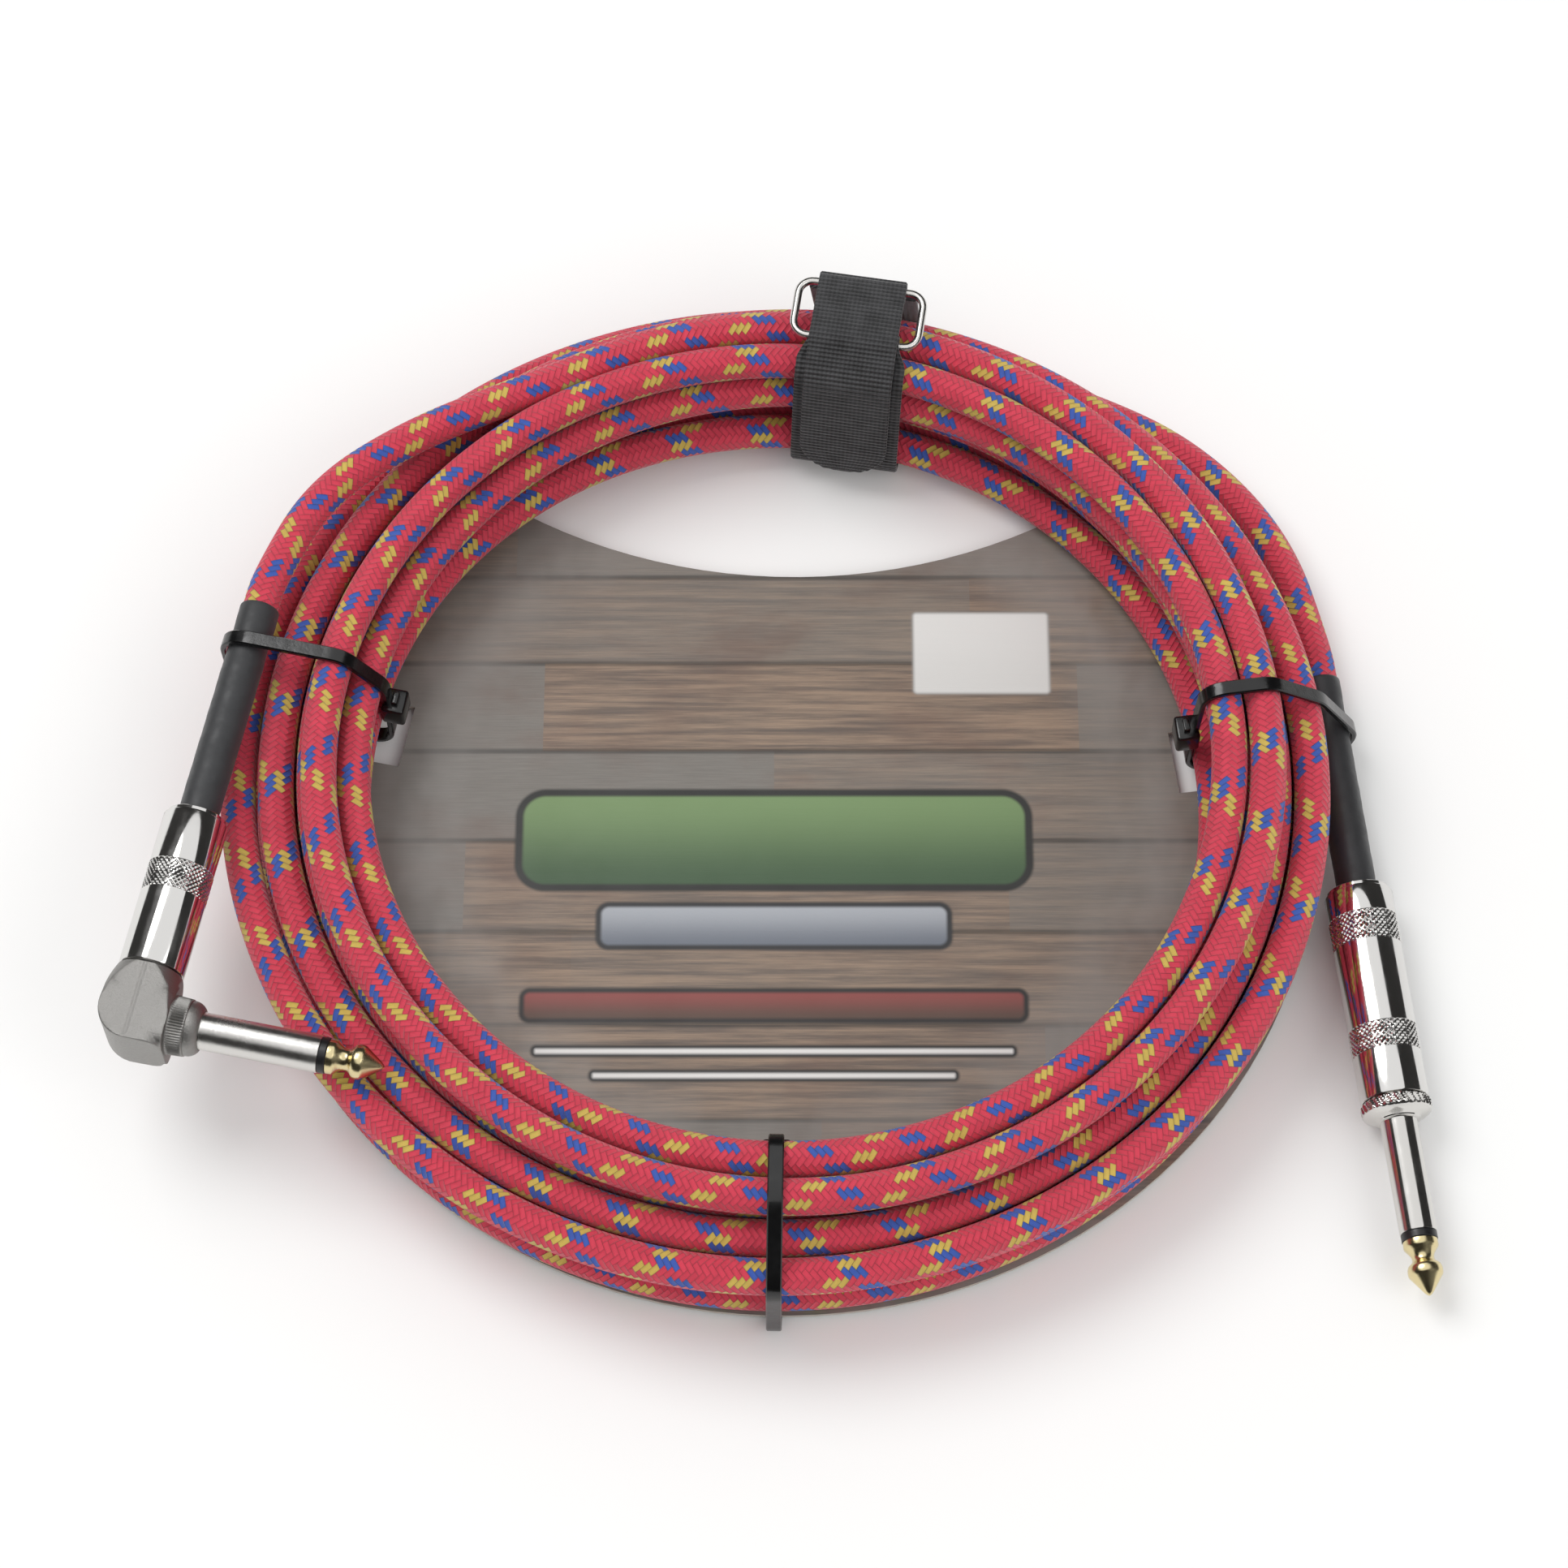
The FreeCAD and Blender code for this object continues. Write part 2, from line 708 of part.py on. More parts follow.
halfCord = size("cord_width") / 2
tieInner = halfCord + size("tie_gap")
tieOuter = tieInner + size("tie_thickness")
for label, angle in tieAngles.items():
    centres = bundleAt(angle)
    floorLine = size("tie_thickness") + tieInner
    centres += [(min(x for x, z in centres), floorLine), (max(x for x, z in centres), floorLine)]
    headSize, headBase = size("tie_head"), size("tie_head_base")
    side = innerSideAt(outlineAt(centres, tieOuter), headBase + headSize / 2)
    head = Part.makeBox(headSize, headSize, headSize,
                        Vector(side + size("tie_thickness") - headSize, -headSize / 2, headBase))
    head = head.makeChamfer(0.5, [edge for edge in head.Edges if edge.CenterOfMass.x < side - 2])
    stub = Part.makeBox(size("tie_thickness"), size("tie_width"), size("tie_stub_length"),
                        Vector(side - size("tie_stub_offset") - size("tie_thickness"),
                               -size("tie_width") / 2, headBase - size("tie_thickness")))
    inside = across(outlineFace(outlineAt(centres, tieInner)), 2 * headSize)
    tie = doc.addObject("Part::Feature", label)
    loop = band(centres, tieInner, tieOuter, size("tie_width"))
    tie.Shape = loop.fuse([head, stub]).cut(inside).removeSplitter()
    node(tie, label, placeAt(0, 0, 0, angle))

# hook-and-loop strap: sewn to the near bar of a ring that lies on the bundle, it goes round the
# bundle, through the ring's far bar and back over the top, where its front end hooks on
strapPlace = placeAt(0, 0, 0, size("strap_angle"))
strapWidth, tailWidth, tailEnd = size("strap_width"), size("tail_width"), size("tail_end")
strapCentres = bundleAt(size("strap_angle"), (-strapWidth / 2, 0.001, strapWidth / 2))
strapTop = max(z for x, z in strapCentres)
bandInner = halfCord + size("strap_gap")
bandOuter = bandInner + size("strap_thickness")
tailInner = bandOuter + size("tail_gap")
tailOuter = tailInner + size("strap_thickness")
nearX, farX = size("ring_near_bar"), size("ring_far_bar")
nearZ = strapTop + bandInner + size("knuckle_radius")
farZ = nearZ + size("ring_far_rise")
reach = 2 * size("coil_start_radius")


def block(low, high):
    """A cutting block in the strap's frame, between two corners of the radial plane."""
    return Part.makeBox(high[0] - low[0], reach, high[1] - low[1],
                        Vector(low[0], -reach / 2, low[1]))


def knuckle(x, z):
    """The turn of webbing round a bar of the ring, and the hole for the bar."""
    outer = size("knuckle_radius")
    corners = [(x + outer * math.sin(math.radians(30 * k)),
                z + outer * math.cos(math.radians(30 * k))) for k in range(12)]
    bore = Part.makeCylinder(size("knuckle_bore"), tailWidth, Vector(x, -tailWidth / 2, z),
                             Vector(0, 1, 0))
    return across(outlineFace(corners), tailWidth), bore


# from the near bar over the inner side and under the bundle, then straight up to the far bar
strap = doc.addObject("Part::Feature", "strap_band")
seamZ = size("cord_base") + halfCord
runUp = (farX + size("knuckle_radius") - bandOuter, farZ)
underneath = band(strapCentres, bandInner, bandOuter, strapWidth).cut(
    block((nearX, seamZ), (reach, reach)))
outside = band(strapCentres + [runUp], bandInner, bandOuter, strapWidth).common(
    block((farX - bandOuter, seamZ), (reach, farZ - size("knuckle_radius") - size("peel_gap"))))
nearRing, nearBore = knuckle(nearX, nearZ)
strap.Shape = underneath.fuse([outside, nearRing]).cut(nearBore).removeSplitter()
node(strap, "strap_band", strapPlace)

# the front end turns on the far bar, passes over the near one and hangs down the inner side
tail = doc.addObject("Part::Feature", "strap_tail")
overBars = farZ + size("knuckle_radius") - tailOuter
run = band(strapCentres + [(nearX, overBars), (farX, overBars)], tailInner, tailOuter, tailWidth)
farRing, farBore = knuckle(farX, farZ)
roundEnd = Part.makeCylinder(tailWidth / 2, reach, Vector(0, 0, tailEnd + tailWidth / 2),
                             Vector(1, 0, 0))
endCut = block((0, tailEnd), (reach, tailEnd + tailWidth / 2)).cut(roundEnd)
run = run.cut([block((farX, -reach), (reach, reach)), block((0, -reach), (reach, tailEnd)), endCut])
tail.Shape = run.fuse(farRing).cut(farBore).removeSplitter()
node(tail, "strap_tail", strapPlace)

patch = doc.addObject("Part::Box", "strap_hook_patch")
patch.setExpression("Length", linked("hook_thickness"))
patch.setExpression("Width", linked("tail_width - 4"))
patch.setExpression("Height", linked("hook_length"))
patchBase = tailEnd + 2
lean = outlineAt(strapCentres, tailInner)
low, high = innerSideAt(lean, patchBase), innerSideAt(lean, patchBase + size("hook_length"))
leanAngle = math.degrees(math.atan2(high - low, size("hook_length")))
node(patch, "strap_hook_patch", strapPlace.multiply(FreeCAD.Placement(
    Vector(low, 2 - tailWidth / 2, patchBase), FreeCAD.Rotation(Vector(0, 1, 0), leanAngle))))

# rectangular ring of wire, six-sided, with its corners cut across
span, wire, corner = size("ring_span") / 2, size("ring_wire"), size("ring_corner")
nearMiddle, farMiddle = Vector(nearX, 0, nearZ), Vector(farX, 0, farZ)
outward = (farMiddle - nearMiddle).normalize()
sideways = Vector(0, 1, 0)
ringCorners = [nearMiddle]
for middle, alongBar in ((nearMiddle, sideways), (farMiddle, sideways * -1)):
    inward = outward if middle is nearMiddle else outward * -1
    ringCorners.append(middle + alongBar * (span - corner))
    ringCorners.append(middle + alongBar * span + inward * corner)
    ringCorners.append((farMiddle if middle is nearMiddle else nearMiddle)
                       + alongBar * span - inward * corner)
    ringCorners.append((farMiddle if middle is nearMiddle else nearMiddle)
                       + alongBar * (span - corner))
ringPath = Part.makePolygon(ringCorners + [nearMiddle])
above = outward.cross(sideways)
hexagon = [nearMiddle + outward * (wire * math.sin(math.radians(60 * k)))
           + above * (wire * math.cos(math.radians(60 * k))) for k in range(6)]
ring = doc.addObject("Part::Feature", "strap_ring")
ring.Shape = ringPath.makePipeShell([Part.makePolygon(hexagon + hexagon[:1])], True, False, 1)
node(ring, "strap_ring", strapPlace)

# backing card: a disc under the coil with a wide bite at the top and a slot for each tie
card = doc.addObject("PartDesign::Body", "backing_card")
disc = card.newObject("PartDesign::AdditiveCylinder", "card_disc")
disc.setExpression("Radius", linked("card_radius"))
disc.setExpression("Height", linked("card_thickness"))
disc.Placement = placeAt(0, 0, size("tie_thickness"), 0)
doc.recompute()
cutAway(card, "Cylinder", "card_bite",
        placeAt(size("bite_x"), size("bite_y"), size("tie_thickness"), 0),
        Radius="bite_radius", Height="card_thickness")
for label, angle in tieAngles.items():
    passes = min(x for x, z in bundleAt(angle)) - (tieInner + tieOuter) / 3
    corner = Vector(passes - size("slot_width") / 2, -size("slot_length") / 2,
                    size("tie_thickness"))
    turned = FreeCAD.Rotation(up, angle)
    cutAway(card, "Box", "slot_" + label, FreeCAD.Placement(turned.multVec(corner), turned),
            Length="slot_width", Width="slot_length", Height="card_thickness")
node(card, "backing_card", FreeCAD.Placement())

# the object's own frame has its origin under the middle of its box
doc.recompute()
box = FreeCAD.BoundBox()
for thing in nodes:
    box.add(thing.Shape.BoundBox)
shift = Vector(-box.Center.x, -box.Center.y, -box.ZMin)
for thing in nodes:
    thing.Placement.Base = thing.Placement.Base + shift
doc.recompute()
print("box %.2f x %.2f x %.2f mm, shift %.3f %.3f %.3f"
      % (box.XLength, box.YLength, box.ZLength, shift.x, shift.y, shift.z))

for thing in doc.Objects:
    if "Invalid" in thing.State or "Error" in thing.State:
        raise RuntimeError(thing.Name + " failed: " + str(thing.State))
os.makedirs("parts", exist_ok=True)
for thing in nodes:
    shape = thing.Shape
    if shape.isNull() or not shape.isValid():
        raise RuntimeError(thing.Label + " has no valid shape")
    shape.exportStep("parts/" + thing.Label + ".step")
    print("%-18s %2d solid %8.1f mm3" % (thing.Label, len(shape.Solids), shape.Volume))
print("%d nodes" % len(nodes))
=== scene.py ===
from math import copysign, cos, dist, exp, hypot, pi, radians, sin, sqrt, tan

import bmesh
import bpy
from mathutils import Matrix, Vector


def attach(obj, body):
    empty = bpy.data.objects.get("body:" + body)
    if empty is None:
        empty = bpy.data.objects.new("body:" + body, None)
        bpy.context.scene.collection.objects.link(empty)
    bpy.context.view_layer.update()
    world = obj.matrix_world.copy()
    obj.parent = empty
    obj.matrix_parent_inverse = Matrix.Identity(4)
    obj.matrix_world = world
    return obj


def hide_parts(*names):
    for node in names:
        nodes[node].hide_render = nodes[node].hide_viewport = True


# An instrument cable coiled on its card.
# Sizes are in millimetres and become metres as a mesh is made.

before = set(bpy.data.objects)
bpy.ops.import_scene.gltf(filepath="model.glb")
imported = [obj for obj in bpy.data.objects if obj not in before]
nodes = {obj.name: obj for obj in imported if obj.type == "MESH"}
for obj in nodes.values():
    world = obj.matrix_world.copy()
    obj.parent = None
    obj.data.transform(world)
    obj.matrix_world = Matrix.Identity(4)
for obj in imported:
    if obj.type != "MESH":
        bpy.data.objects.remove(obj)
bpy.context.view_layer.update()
mm = 0.001
up = Vector((0, 0, 1))
middle = Vector((1.742, -1.005, 0))  # the coil's middle on the floor


def placed(x, y, z, heading):
    return (Matrix.Scale(mm, 4) @ Matrix.Translation(middle + Vector((x, y, z)))
            @ Matrix.Rotation(radians(heading), 4, "Z"))


# plug frames: +X runs along the shaft to the tip, or along the barrel to the plug's front
straightFrame = placed(103.8, -60.5, 6.15, -84)
angleFrame = placed(-107.5, -49.5, 24.8, -12)
angleRearFrame = placed(-107.5, -49.5, 24.8, -102)
strapFrame = placed(0, 0, 0, 81)


def rgb(red, green, blue):
    return tuple(((c / 255 + 0.055) / 1.055) ** 2.4 if c > 10 else c / 3295
                 for c in (red, green, blue)) + (1,)


# materials: a Term is a number that differs from place to place on a surface

def feed(tree, port, value):
    if isinstance(value, Term):
        value = value.socket
    if isinstance(value, bpy.types.NodeSocket):
        tree.links.new(value, port)
    else:
        port.default_value = value


class Term:
    def __init__(self, tree, socket):
        self.tree = tree
        self.socket = socket

    def does(self, kind, *others):
        made = self.tree.nodes.new("ShaderNodeMath")
        made.operation = kind
        for port, value in zip(made.inputs, (self,) + others):
            feed(self.tree, port, value)
        return Term(self.tree, made.outputs[0])

    def ramp(self, start, end, low=0.0, high=1.0):
        made = self.tree.nodes.new("ShaderNodeMapRange")
        made.interpolation_type = "SMOOTHSTEP"
        for port, value in zip(made.inputs, (self, start, end, low, high)):
            feed(self.tree, port, value)
        return Term(self.tree, made.outputs[0])


for name, kind in (("__add__", "ADD"), ("__sub__", "SUBTRACT"), ("__mul__", "MULTIPLY"),
                   ("__mod__", "FLOORED_MODULO"), ("floor", "FLOOR"), ("below", "LESS_THAN"),
                   ("sine", "SINE"), ("power", "POWER"), ("most", "MAXIMUM"),
                   ("size", "ABSOLUTE")):
    setattr(Term, name, lambda term, *others, kind=kind: term.does(kind, *others))


class Paint:
    def __init__(self, name, **settings):
        self.material = bpy.data.materials.new(name)
        self.material.use_nodes = True
        self.tree = self.material.node_tree
        self.shader = self.tree.nodes["Principled BSDF"]
        for key, value in settings.items():
            self.put(key.replace("_", " "), value)

    def node(self, kind, **settings):
        made = self.tree.nodes.new("ShaderNode" + kind)
        for key, value in settings.items():
            setattr(made, key, value)
        return made

    def coordinates(self, layer=None):
        split = self.node("SeparateXYZ")
        if layer:
            found = self.node("UVMap", uv_map=layer)
        else:
            found = self.node("VectorMath", operation="SCALE")
            feed(self.tree, found.inputs["Scale"], 1 / mm)
            feed(self.tree, found.inputs[0], self.node("TexCoord").outputs["Object"])
        feed(self.tree, split.inputs[0], found.outputs[0])
        return [Term(self.tree, port) for port in split.outputs]

    def vector(self, x, y, z=0.0):
        made = self.node("CombineXYZ")
        for port, value in zip(made.inputs, (x, y, z)):
            feed(self.tree, port, value)
        return made.outputs[0]

    def noise(self, x, y, z=0.0, scale=1.0, detail=3.0, rough=0.6):
        made = self.node("TexNoise")
        for key, value in (("Vector", self.vector(x, y, z)), ("Scale", scale), ("Detail", detail),
                           ("Roughness", rough)):
            feed(self.tree, made.inputs[key], value)
        return Term(self.tree, made.outputs["Fac"])

    def cloud(self, scale, detail=3.0, rough=0.6):
        return self.noise(*self.coordinates(), scale=scale, detail=detail, rough=rough)

    def mix(self, share, first, second, blend="MIX"):
        made = self.node("Mix", data_type="RGBA", blend_type=blend)
        for port, value in zip((0, 6, 7), (share, first, second)):
            feed(self.tree, made.inputs[port], value)
        return made.outputs[2]

    def put(self, key, value):
        feed(self.tree, self.shader.inputs[key], value)

    def shaded(self, colour, light):
        grey = self.node("CombineColor")
        for port in grey.inputs:
            feed(self.tree, port, light)
        return self.mix(1.0, colour, grey.outputs[0], "MULTIPLY")

    def relief(self, height, depth):
        bump = self.node("Bump")
        feed(self.tree, bump.inputs["Distance"], depth * mm)
        feed(self.tree, bump.inputs["Height"], height)
        self.put("Normal", bump.outputs[0])


# meshes

def rawObject(name, points, faces):
    mesh = bpy.data.meshes.new(name)
    mesh.from_pydata([tuple(p) for p in points], [], faces)
    made = bpy.data.objects.new(name, mesh)
    bpy.context.scene.collection.objects.link(made)
    return made


def takenFrom(used):
    points = [v.co.copy() for v in used.data.vertices]
    faces = [tuple(p.vertices) for p in used.data.polygons]
    bpy.data.objects.remove(used)
    return points, faces


def piece(name, points, faces, place, body, paint, sharp=35, uv=None):
    made = rawObject(name, points, faces)
    mesh = made.data
    if uv:
        layer = mesh.uv_layers.new(name="Surface")
        for loop, spot in enumerate(uv):
            layer.data[loop].uv = spot
    mesh.transform(place)
    mesh.validate()
    mesh.shade_smooth()
    mesh.set_sharp_from_angle(angle=radians(sharp))
    mesh.materials.append(paint.material)
    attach(made, body)
    return made


def smoothStep(x):
    x = min(max(x, 0.0), 1.0)
    return x * x * (3 - 2 * x)


def neighbours(rows, i, closed):
    before = rows[i - 1] if i or closed else rows[i]
    after = rows[(i + 1) % len(rows)] if i < len(rows) - 1 or closed else rows[i]
    return before, after


def allRound(count):
    return [2 * pi * k / count for k in range(count)]


def tubeRings(points, radius, sides, closed=False):
    ways = []
    for i in range(len(points)):
        before, after = neighbours(points, i, closed)
        ways.append((after - before).normalized())
    swings = allRound(sides)
    side = ways[0].cross(up).normalized()
    rings, lines, along = [], [], 0.0
    for i, point in enumerate(points):
        if i:
            along += (point - points[i - 1]).length
            side = (side - ways[i] * side.dot(ways[i])).normalized()
        rise = side.cross(ways[i])
        rings.append([point + (side * cos(a) + rise * sin(a)) * radius
                      for a in swings])
        lines.append(along)  # how far along the tube each ring lies
    return rings, lines


def skin(rings, lines, closed=False, caps=True):
    sides = len(rings[0])
    points = [p for ring in rings for p in ring]
    faces, uv = [], []
    count = len(rings)
    for i in range(count if closed else count - 1):
        after = (i + 1) % count
        far = lines[i + 1] if i + 1 < count else lines[i] + (rings[0][0] - rings[i][0]).length
        for k in range(sides):
            nextSide = (k + 1) % sides
            faces.append((i * sides + k, i * sides + nextSide,
                          after * sides + nextSide, after * sides + k))
            uv += [(lines[i], k / sides), (lines[i], (k + 1) / sides),
                   (far, (k + 1) / sides), (far, k / sides)]
    if caps and not closed:
        for i, flip in ((0, True), (count - 1, False)):
            ring = [i * sides + k for k in range(sides)]
            faces.append(tuple(ring[::-1] if flip else ring))
            uv += [(lines[i], k / sides) for k in range(sides)]
    return points, faces, uv


# cord: wound in and out four times, a layer higher each time that it turns back

cord = {
    "width": 6.2,
    "startAngle": 56.0,
    "angleEachWay": 1134.0,  # degrees from the outer turn in to the inner one
    "endAngle": 4084.0,
    "startRadius": 94.6,
    "radiusPerTurn": 6.66,
    "lowestLayer": 5.1,
    "layerStep": 6.65,
    "climbOver": 180.0,  # degrees in which a turn rises to the next layer
    "stepsPerTurn": 16,
    "slack": 3.6,  # how far turns wander from the even winding between ties
    "settling": 160,  # rounds of pushing the turns apart
    "gap": 0.12,
    "heldFor": 8.0,  # degrees beside a tie where turns lie even
    "looseOver": 26.0,  # degrees more until they lie free
    "holding": 0.4,
    "stiffness": 0.12,
    "sinking": 0.06,
    "leadRoom": 6.7,  # from a turn's middle to a lead's
    "sides": 20,
    "strands": 12,
    "coloured": 3,  # strands of each colour
    "yellowShift": 2,
    "braidLead": 15.2,
    "red": rgb(206, 56, 78),
    "blue": rgb(54, 86, 170),
    "yellow": rgb(198, 170, 80),
}
tieAngles = {"left": 168.0, "right": 7.5, "bottom": 269.0}
strapAngle = 81.0
mouths = {
    "straight": (Vector((95.05, 22.74, 6.15)), Vector((-0.1045, 0.9945, 0)), 56.7),
    "angle": (Vector((-91.14, 27.48, 24.8)), Vector((0.2079, 0.9781, 0)), 56.7),
}


def evenCoil(angle):
    start, eachWay = cord["startAngle"], cord["angleEachWay"]
    turned = (angle - start) / eachWay
    part = turned % 1
    inwards = part if int(turned) % 2 == 0 else 1 - part
    radius = cord["startRadius"] - cord["radiusPerTurn"] * eachWay / 360 * inwards
    height = cord["lowestLayer"]
    for count in (1, 2, 3):
        share = min(max((angle - start - eachWay * count) / cord["climbOver"] + 0.5, 0), 1)
        climb = 2 * share ** 2 if share < 0.5 else 1 - 2 * (1 - share) ** 2
        height += cord["layerStep"] * climb
    return radius, height


def crossingsAt(points, angle, aside=0.0):
    # where a line crosses a radial plane, or one beside it
    swing = Matrix.Rotation(radians(-angle), 3, "Z")
    found = []
    last = swing @ points[0]
    for point in points[1:]:
        here = swing @ point
        if here.x > 0 and (last.y - aside) * (here.y - aside) < 0:
            part = (aside - last.y) / (here.y - last.y)
            found.append((last.x + (here.x - last.x) * part, last.z + (here.z - last.z) * part))
        last = here
    return found


def looseAt(angle):
    near = 180.0
    for stop in list(tieAngles.values()) + [strapAngle]:
        near = min(near, abs((angle - stop + 180) % 360 - 180))
    return smoothStep((near - cord["heldFor"]) / cord["looseOver"])


def leadsAcross(angle):
    return [hit for mouth, way, length in mouths.values()
            for hit in crossingsAt((mouth, mouth - way * length), angle)]


def wandered(even, loose):
    spots = []
    for i, (radius, height) in enumerate(even):
        wander = sin(i * 0.53 + 0.4) + sin(i * 0.291 + 2.0) + 0.6 * sin(i * 0.87)
        lift = sin(i * 0.41 + 1.0) + sin(i * 0.173 + 4.0)
        spots.append([radius + cord["slack"] * 0.5 * wander * loose[i],
                      height + cord["slack"] * 0.35 * (lift + 0.6) * loose[i]])
    return spots


def bendBack(spots, even, loose, calm):
    before = [list(s) for s in spots]
    for i in range(1, len(spots) - 1):
        for axis in (0, 1):
            between = (before[i - 1][axis] + before[i + 1][axis]) / 2
            evenBend = even[i][axis] - (even[i - 1][axis] + even[i + 1][axis]) / 2
            spots[i][axis] += cord["stiffness"] * (between + evenBend - before[i][axis])
            spots[i][axis] += cord["holding"] * (1 - loose[i]) * (even[i][axis] - spots[i][axis])
        spots[i][1] -= cord["sinking"] * loose[i] * (1 - calm)


def pushApart(spots, lane, halfway, leads):
    # turns in one radial plane, or halfway to the next one
    here = range(lane, len(spots) - 1, cord["stepsPerTurn"])
    centres = [[(spots[i][k] + spots[i + 1][k]) / 2 for k in (0, 1)] if halfway else spots[i]
               for i in here]
    apart = cord["width"] + cord["gap"]
    share = 0.6 if halfway else 1

    def nudge(i, x, z):
        for k in (i, i + 1) if halfway else (i,):
            spots[k][0] += x
            spots[k][1] += z
    for a, centre in enumerate(centres):
        for b in range(a + 1, len(centres)):
            dx, dz = centre[0] - centres[b][0], centre[1] - centres[b][1]
            gap = hypot(dx, dz)
            if gap < apart:
                push = 0.5 * (apart - gap) / max(gap, 0.01)
                nudge(here[a], push * dx * share, push * dz * share)
                nudge(here[b], -push * dx * share, -push * dz * share)
        for x, z in leads:
            dx, dz = centre[0] - x, centre[1] - z
            gap = hypot(dx, dz)
            if 0.01 < gap < cord["leadRoom"] and abs(dz) > 3:
                nudge(here[a], 0, (cord["leadRoom"] - gap) * dz / gap)


def settledCoil():
    steps = cord["stepsPerTurn"]
    turn = 360 / steps
    count = int((cord["endAngle"] - cord["startAngle"]) / turn) + 1
    angles = [cord["startAngle"] + turn * i for i in range(count)]
    even = [evenCoil(a) for a in angles]
    loose = [looseAt(a) for a in angles]
    spots = wandered(even, loose)
    planes = [(lane, halfway, leadsAcross(angles[0] + turn * (lane + halfway)))
              for halfway in (0.0, 0.5) for lane in range(steps)]
    for done in range(cord["settling"]):
        bendBack(spots, even, loose, done / cord["settling"])
        for lane, halfway, leads in planes:
            pushApart(spots, lane, halfway, leads)
        for spot in spots:
            spot[1] = max(spot[1], cord["lowestLayer"])
    found = []
    for angle, (radius, height) in zip(angles, spots):
        swing = radians(angle)
        found.append(Vector((radius * cos(swing), radius * sin(swing), height)))
    return found


def onBend(start, startWay, end, endWay, stops):
    turned = startWay.angle(endWay)
    chord = (end - start).length
    pull = chord / (2 * sin(turned / 2)) * 4 * tan(turned / 4) if turned > 0.01 else chord
    found = []
    for t in stops:
        a, b = 2 * t ** 3 - 3 * t ** 2 + 1, t ** 3 - 2 * t ** 2 + t
        c, d = 3 * t ** 2 - 2 * t ** 3, t ** 3 - t ** 2
        found.append(start * a + startWay * (b * pull) + end * c + endWay * (d * pull))
    return found


def cordRoute():
    turns = settledCoil()
    mouth, way, back = mouths["straight"]
    leave = mouth + way * cord["width"]
    entry = [mouth - way * d for d in (back, 38, 18, 0)] + [leave]
    first = onBend(leave, way, turns[0], (turns[1] - turns[0]).normalized(), (1 / 3, 2 / 3))
    mouth, way, back = mouths["angle"]
    arrive = mouth + way * cord["width"]
    last = onBend(turns[-1], (turns[-1] - turns[-2]).normalized(), arrive, -way, (1 / 3, 2 / 3))
    ending = [arrive] + [mouth - way * d for d in (0, 18, 38, back)]
    bends = [leave] + first + turns + last + [arrive]
    pulled = [bends[0]]
    for before, here, after in zip(bends[:-2], bends[1:-1], bends[2:]):
        pulled.append(here + (here * 2 - before - after) / 8)
    pulled.append(bends[-1])
    return entry[:-1] + pulled + ending[1:]


def cordLine():
    route = cordRoute()
    data = bpy.data.curves.new("route", "CURVE")
    data.dimensions = "3D"
    data.resolution_u = 20
    spline = data.splines.new("NURBS")
    spline.points.add(len(route) - 1)
    for point, spot in zip(spline.points, route):
        spot = (spot + middle) * mm
        point.co = (spot.x, spot.y, spot.z, 1)
    spline.order_u = 3
    spline.use_endpoint_u = True
    holder = bpy.data.objects.new("route", data)
    bpy.context.scene.collection.objects.link(holder)
    line = bpy.data.meshes.new_from_object(holder)
    points = [v.co / mm - middle for v in line.vertices]
    bpy.data.objects.remove(holder)
    return points


def braidPaint():
    paint = Paint("braidedJacket", Roughness=0.62, Specular_IOR_Level=0.35, Sheen_Weight=0.25,
                  Sheen_Roughness=0.45)
    along, around, _ = paint.coordinates("Surface")
    strands = cord["strands"]
    twist = around + along * (1 / 870)
    a = (twist + along * (1 / cord["braidLead"])) * strands
    b = (along * (1 / cord["braidLead"]) - twist) * strands
    i, j = a.floor(), b.floor()
    over = ((i - j) % 4).below(1.5)
    under = over * -1 + 1
    blue = (i % strands).below(cord["coloured"] - 0.5) * over
    yellow = ((j - cord["yellowShift"]) % strands).below(cord["coloured"] - 0.5) * under
    acrossA, acrossB = a - i, b - j
    alongA = ((b - i + 1) % 4) * 0.5
    alongB = ((a - j - 2) % 4) * 0.5
    across = acrossA * over + acrossB * under
    lengthwise = alongA * over + alongB * under
    height = ((across * pi).sine().most(0.0).power(0.42)
              * (lengthwise * pi).sine().most(0.0).power(0.32))
    fibres = across * (2 * pi * 5)
    thread = fibres.sine() * 0.5 + 0.5
    worn = paint.noise(along, around * 19.5, scale=0.35, detail=4)
    # painted shade: the colour darkens where the relief is low, in the gaps between strands
    shade = (height.ramp(0.0, 0.6, 0.66, 1.0) * (thread * 0.1 + 0.93)
             * worn.ramp(0.25, 0.75, 0.9, 1.08))
    colour = paint.mix(blue, cord["red"], cord["blue"])
    colour = paint.mix(yellow, colour, cord["yellow"])
    paint.put("Base Color", paint.shaded(colour, shade))
    paint.relief(height + thread * 0.1, 0.28)
    return paint


print("cord: settling the turns")
line = cordLine()
rings, lengths = tubeRings(line, cord["width"] / 2, cord["sides"])
points, faces, uv = skin(rings, lengths)
cordPiece = piece("braided_cord", [p + middle for p in points], faces, Matrix.Scale(mm, 4),
                  "cable", braidPaint(), uv=uv)
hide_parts("cord_coil", "straight_lead", "angle_lead")
print("cord: %d rings, %.0f mm" % (len(rings), lengths[-1]))


# turned pieces: a closed outline of (along, radius) corners swung round +X

def steps(start, end, count, radius):
    return [(start + (end - start) * i / count, radius) for i in range(count + 1)]


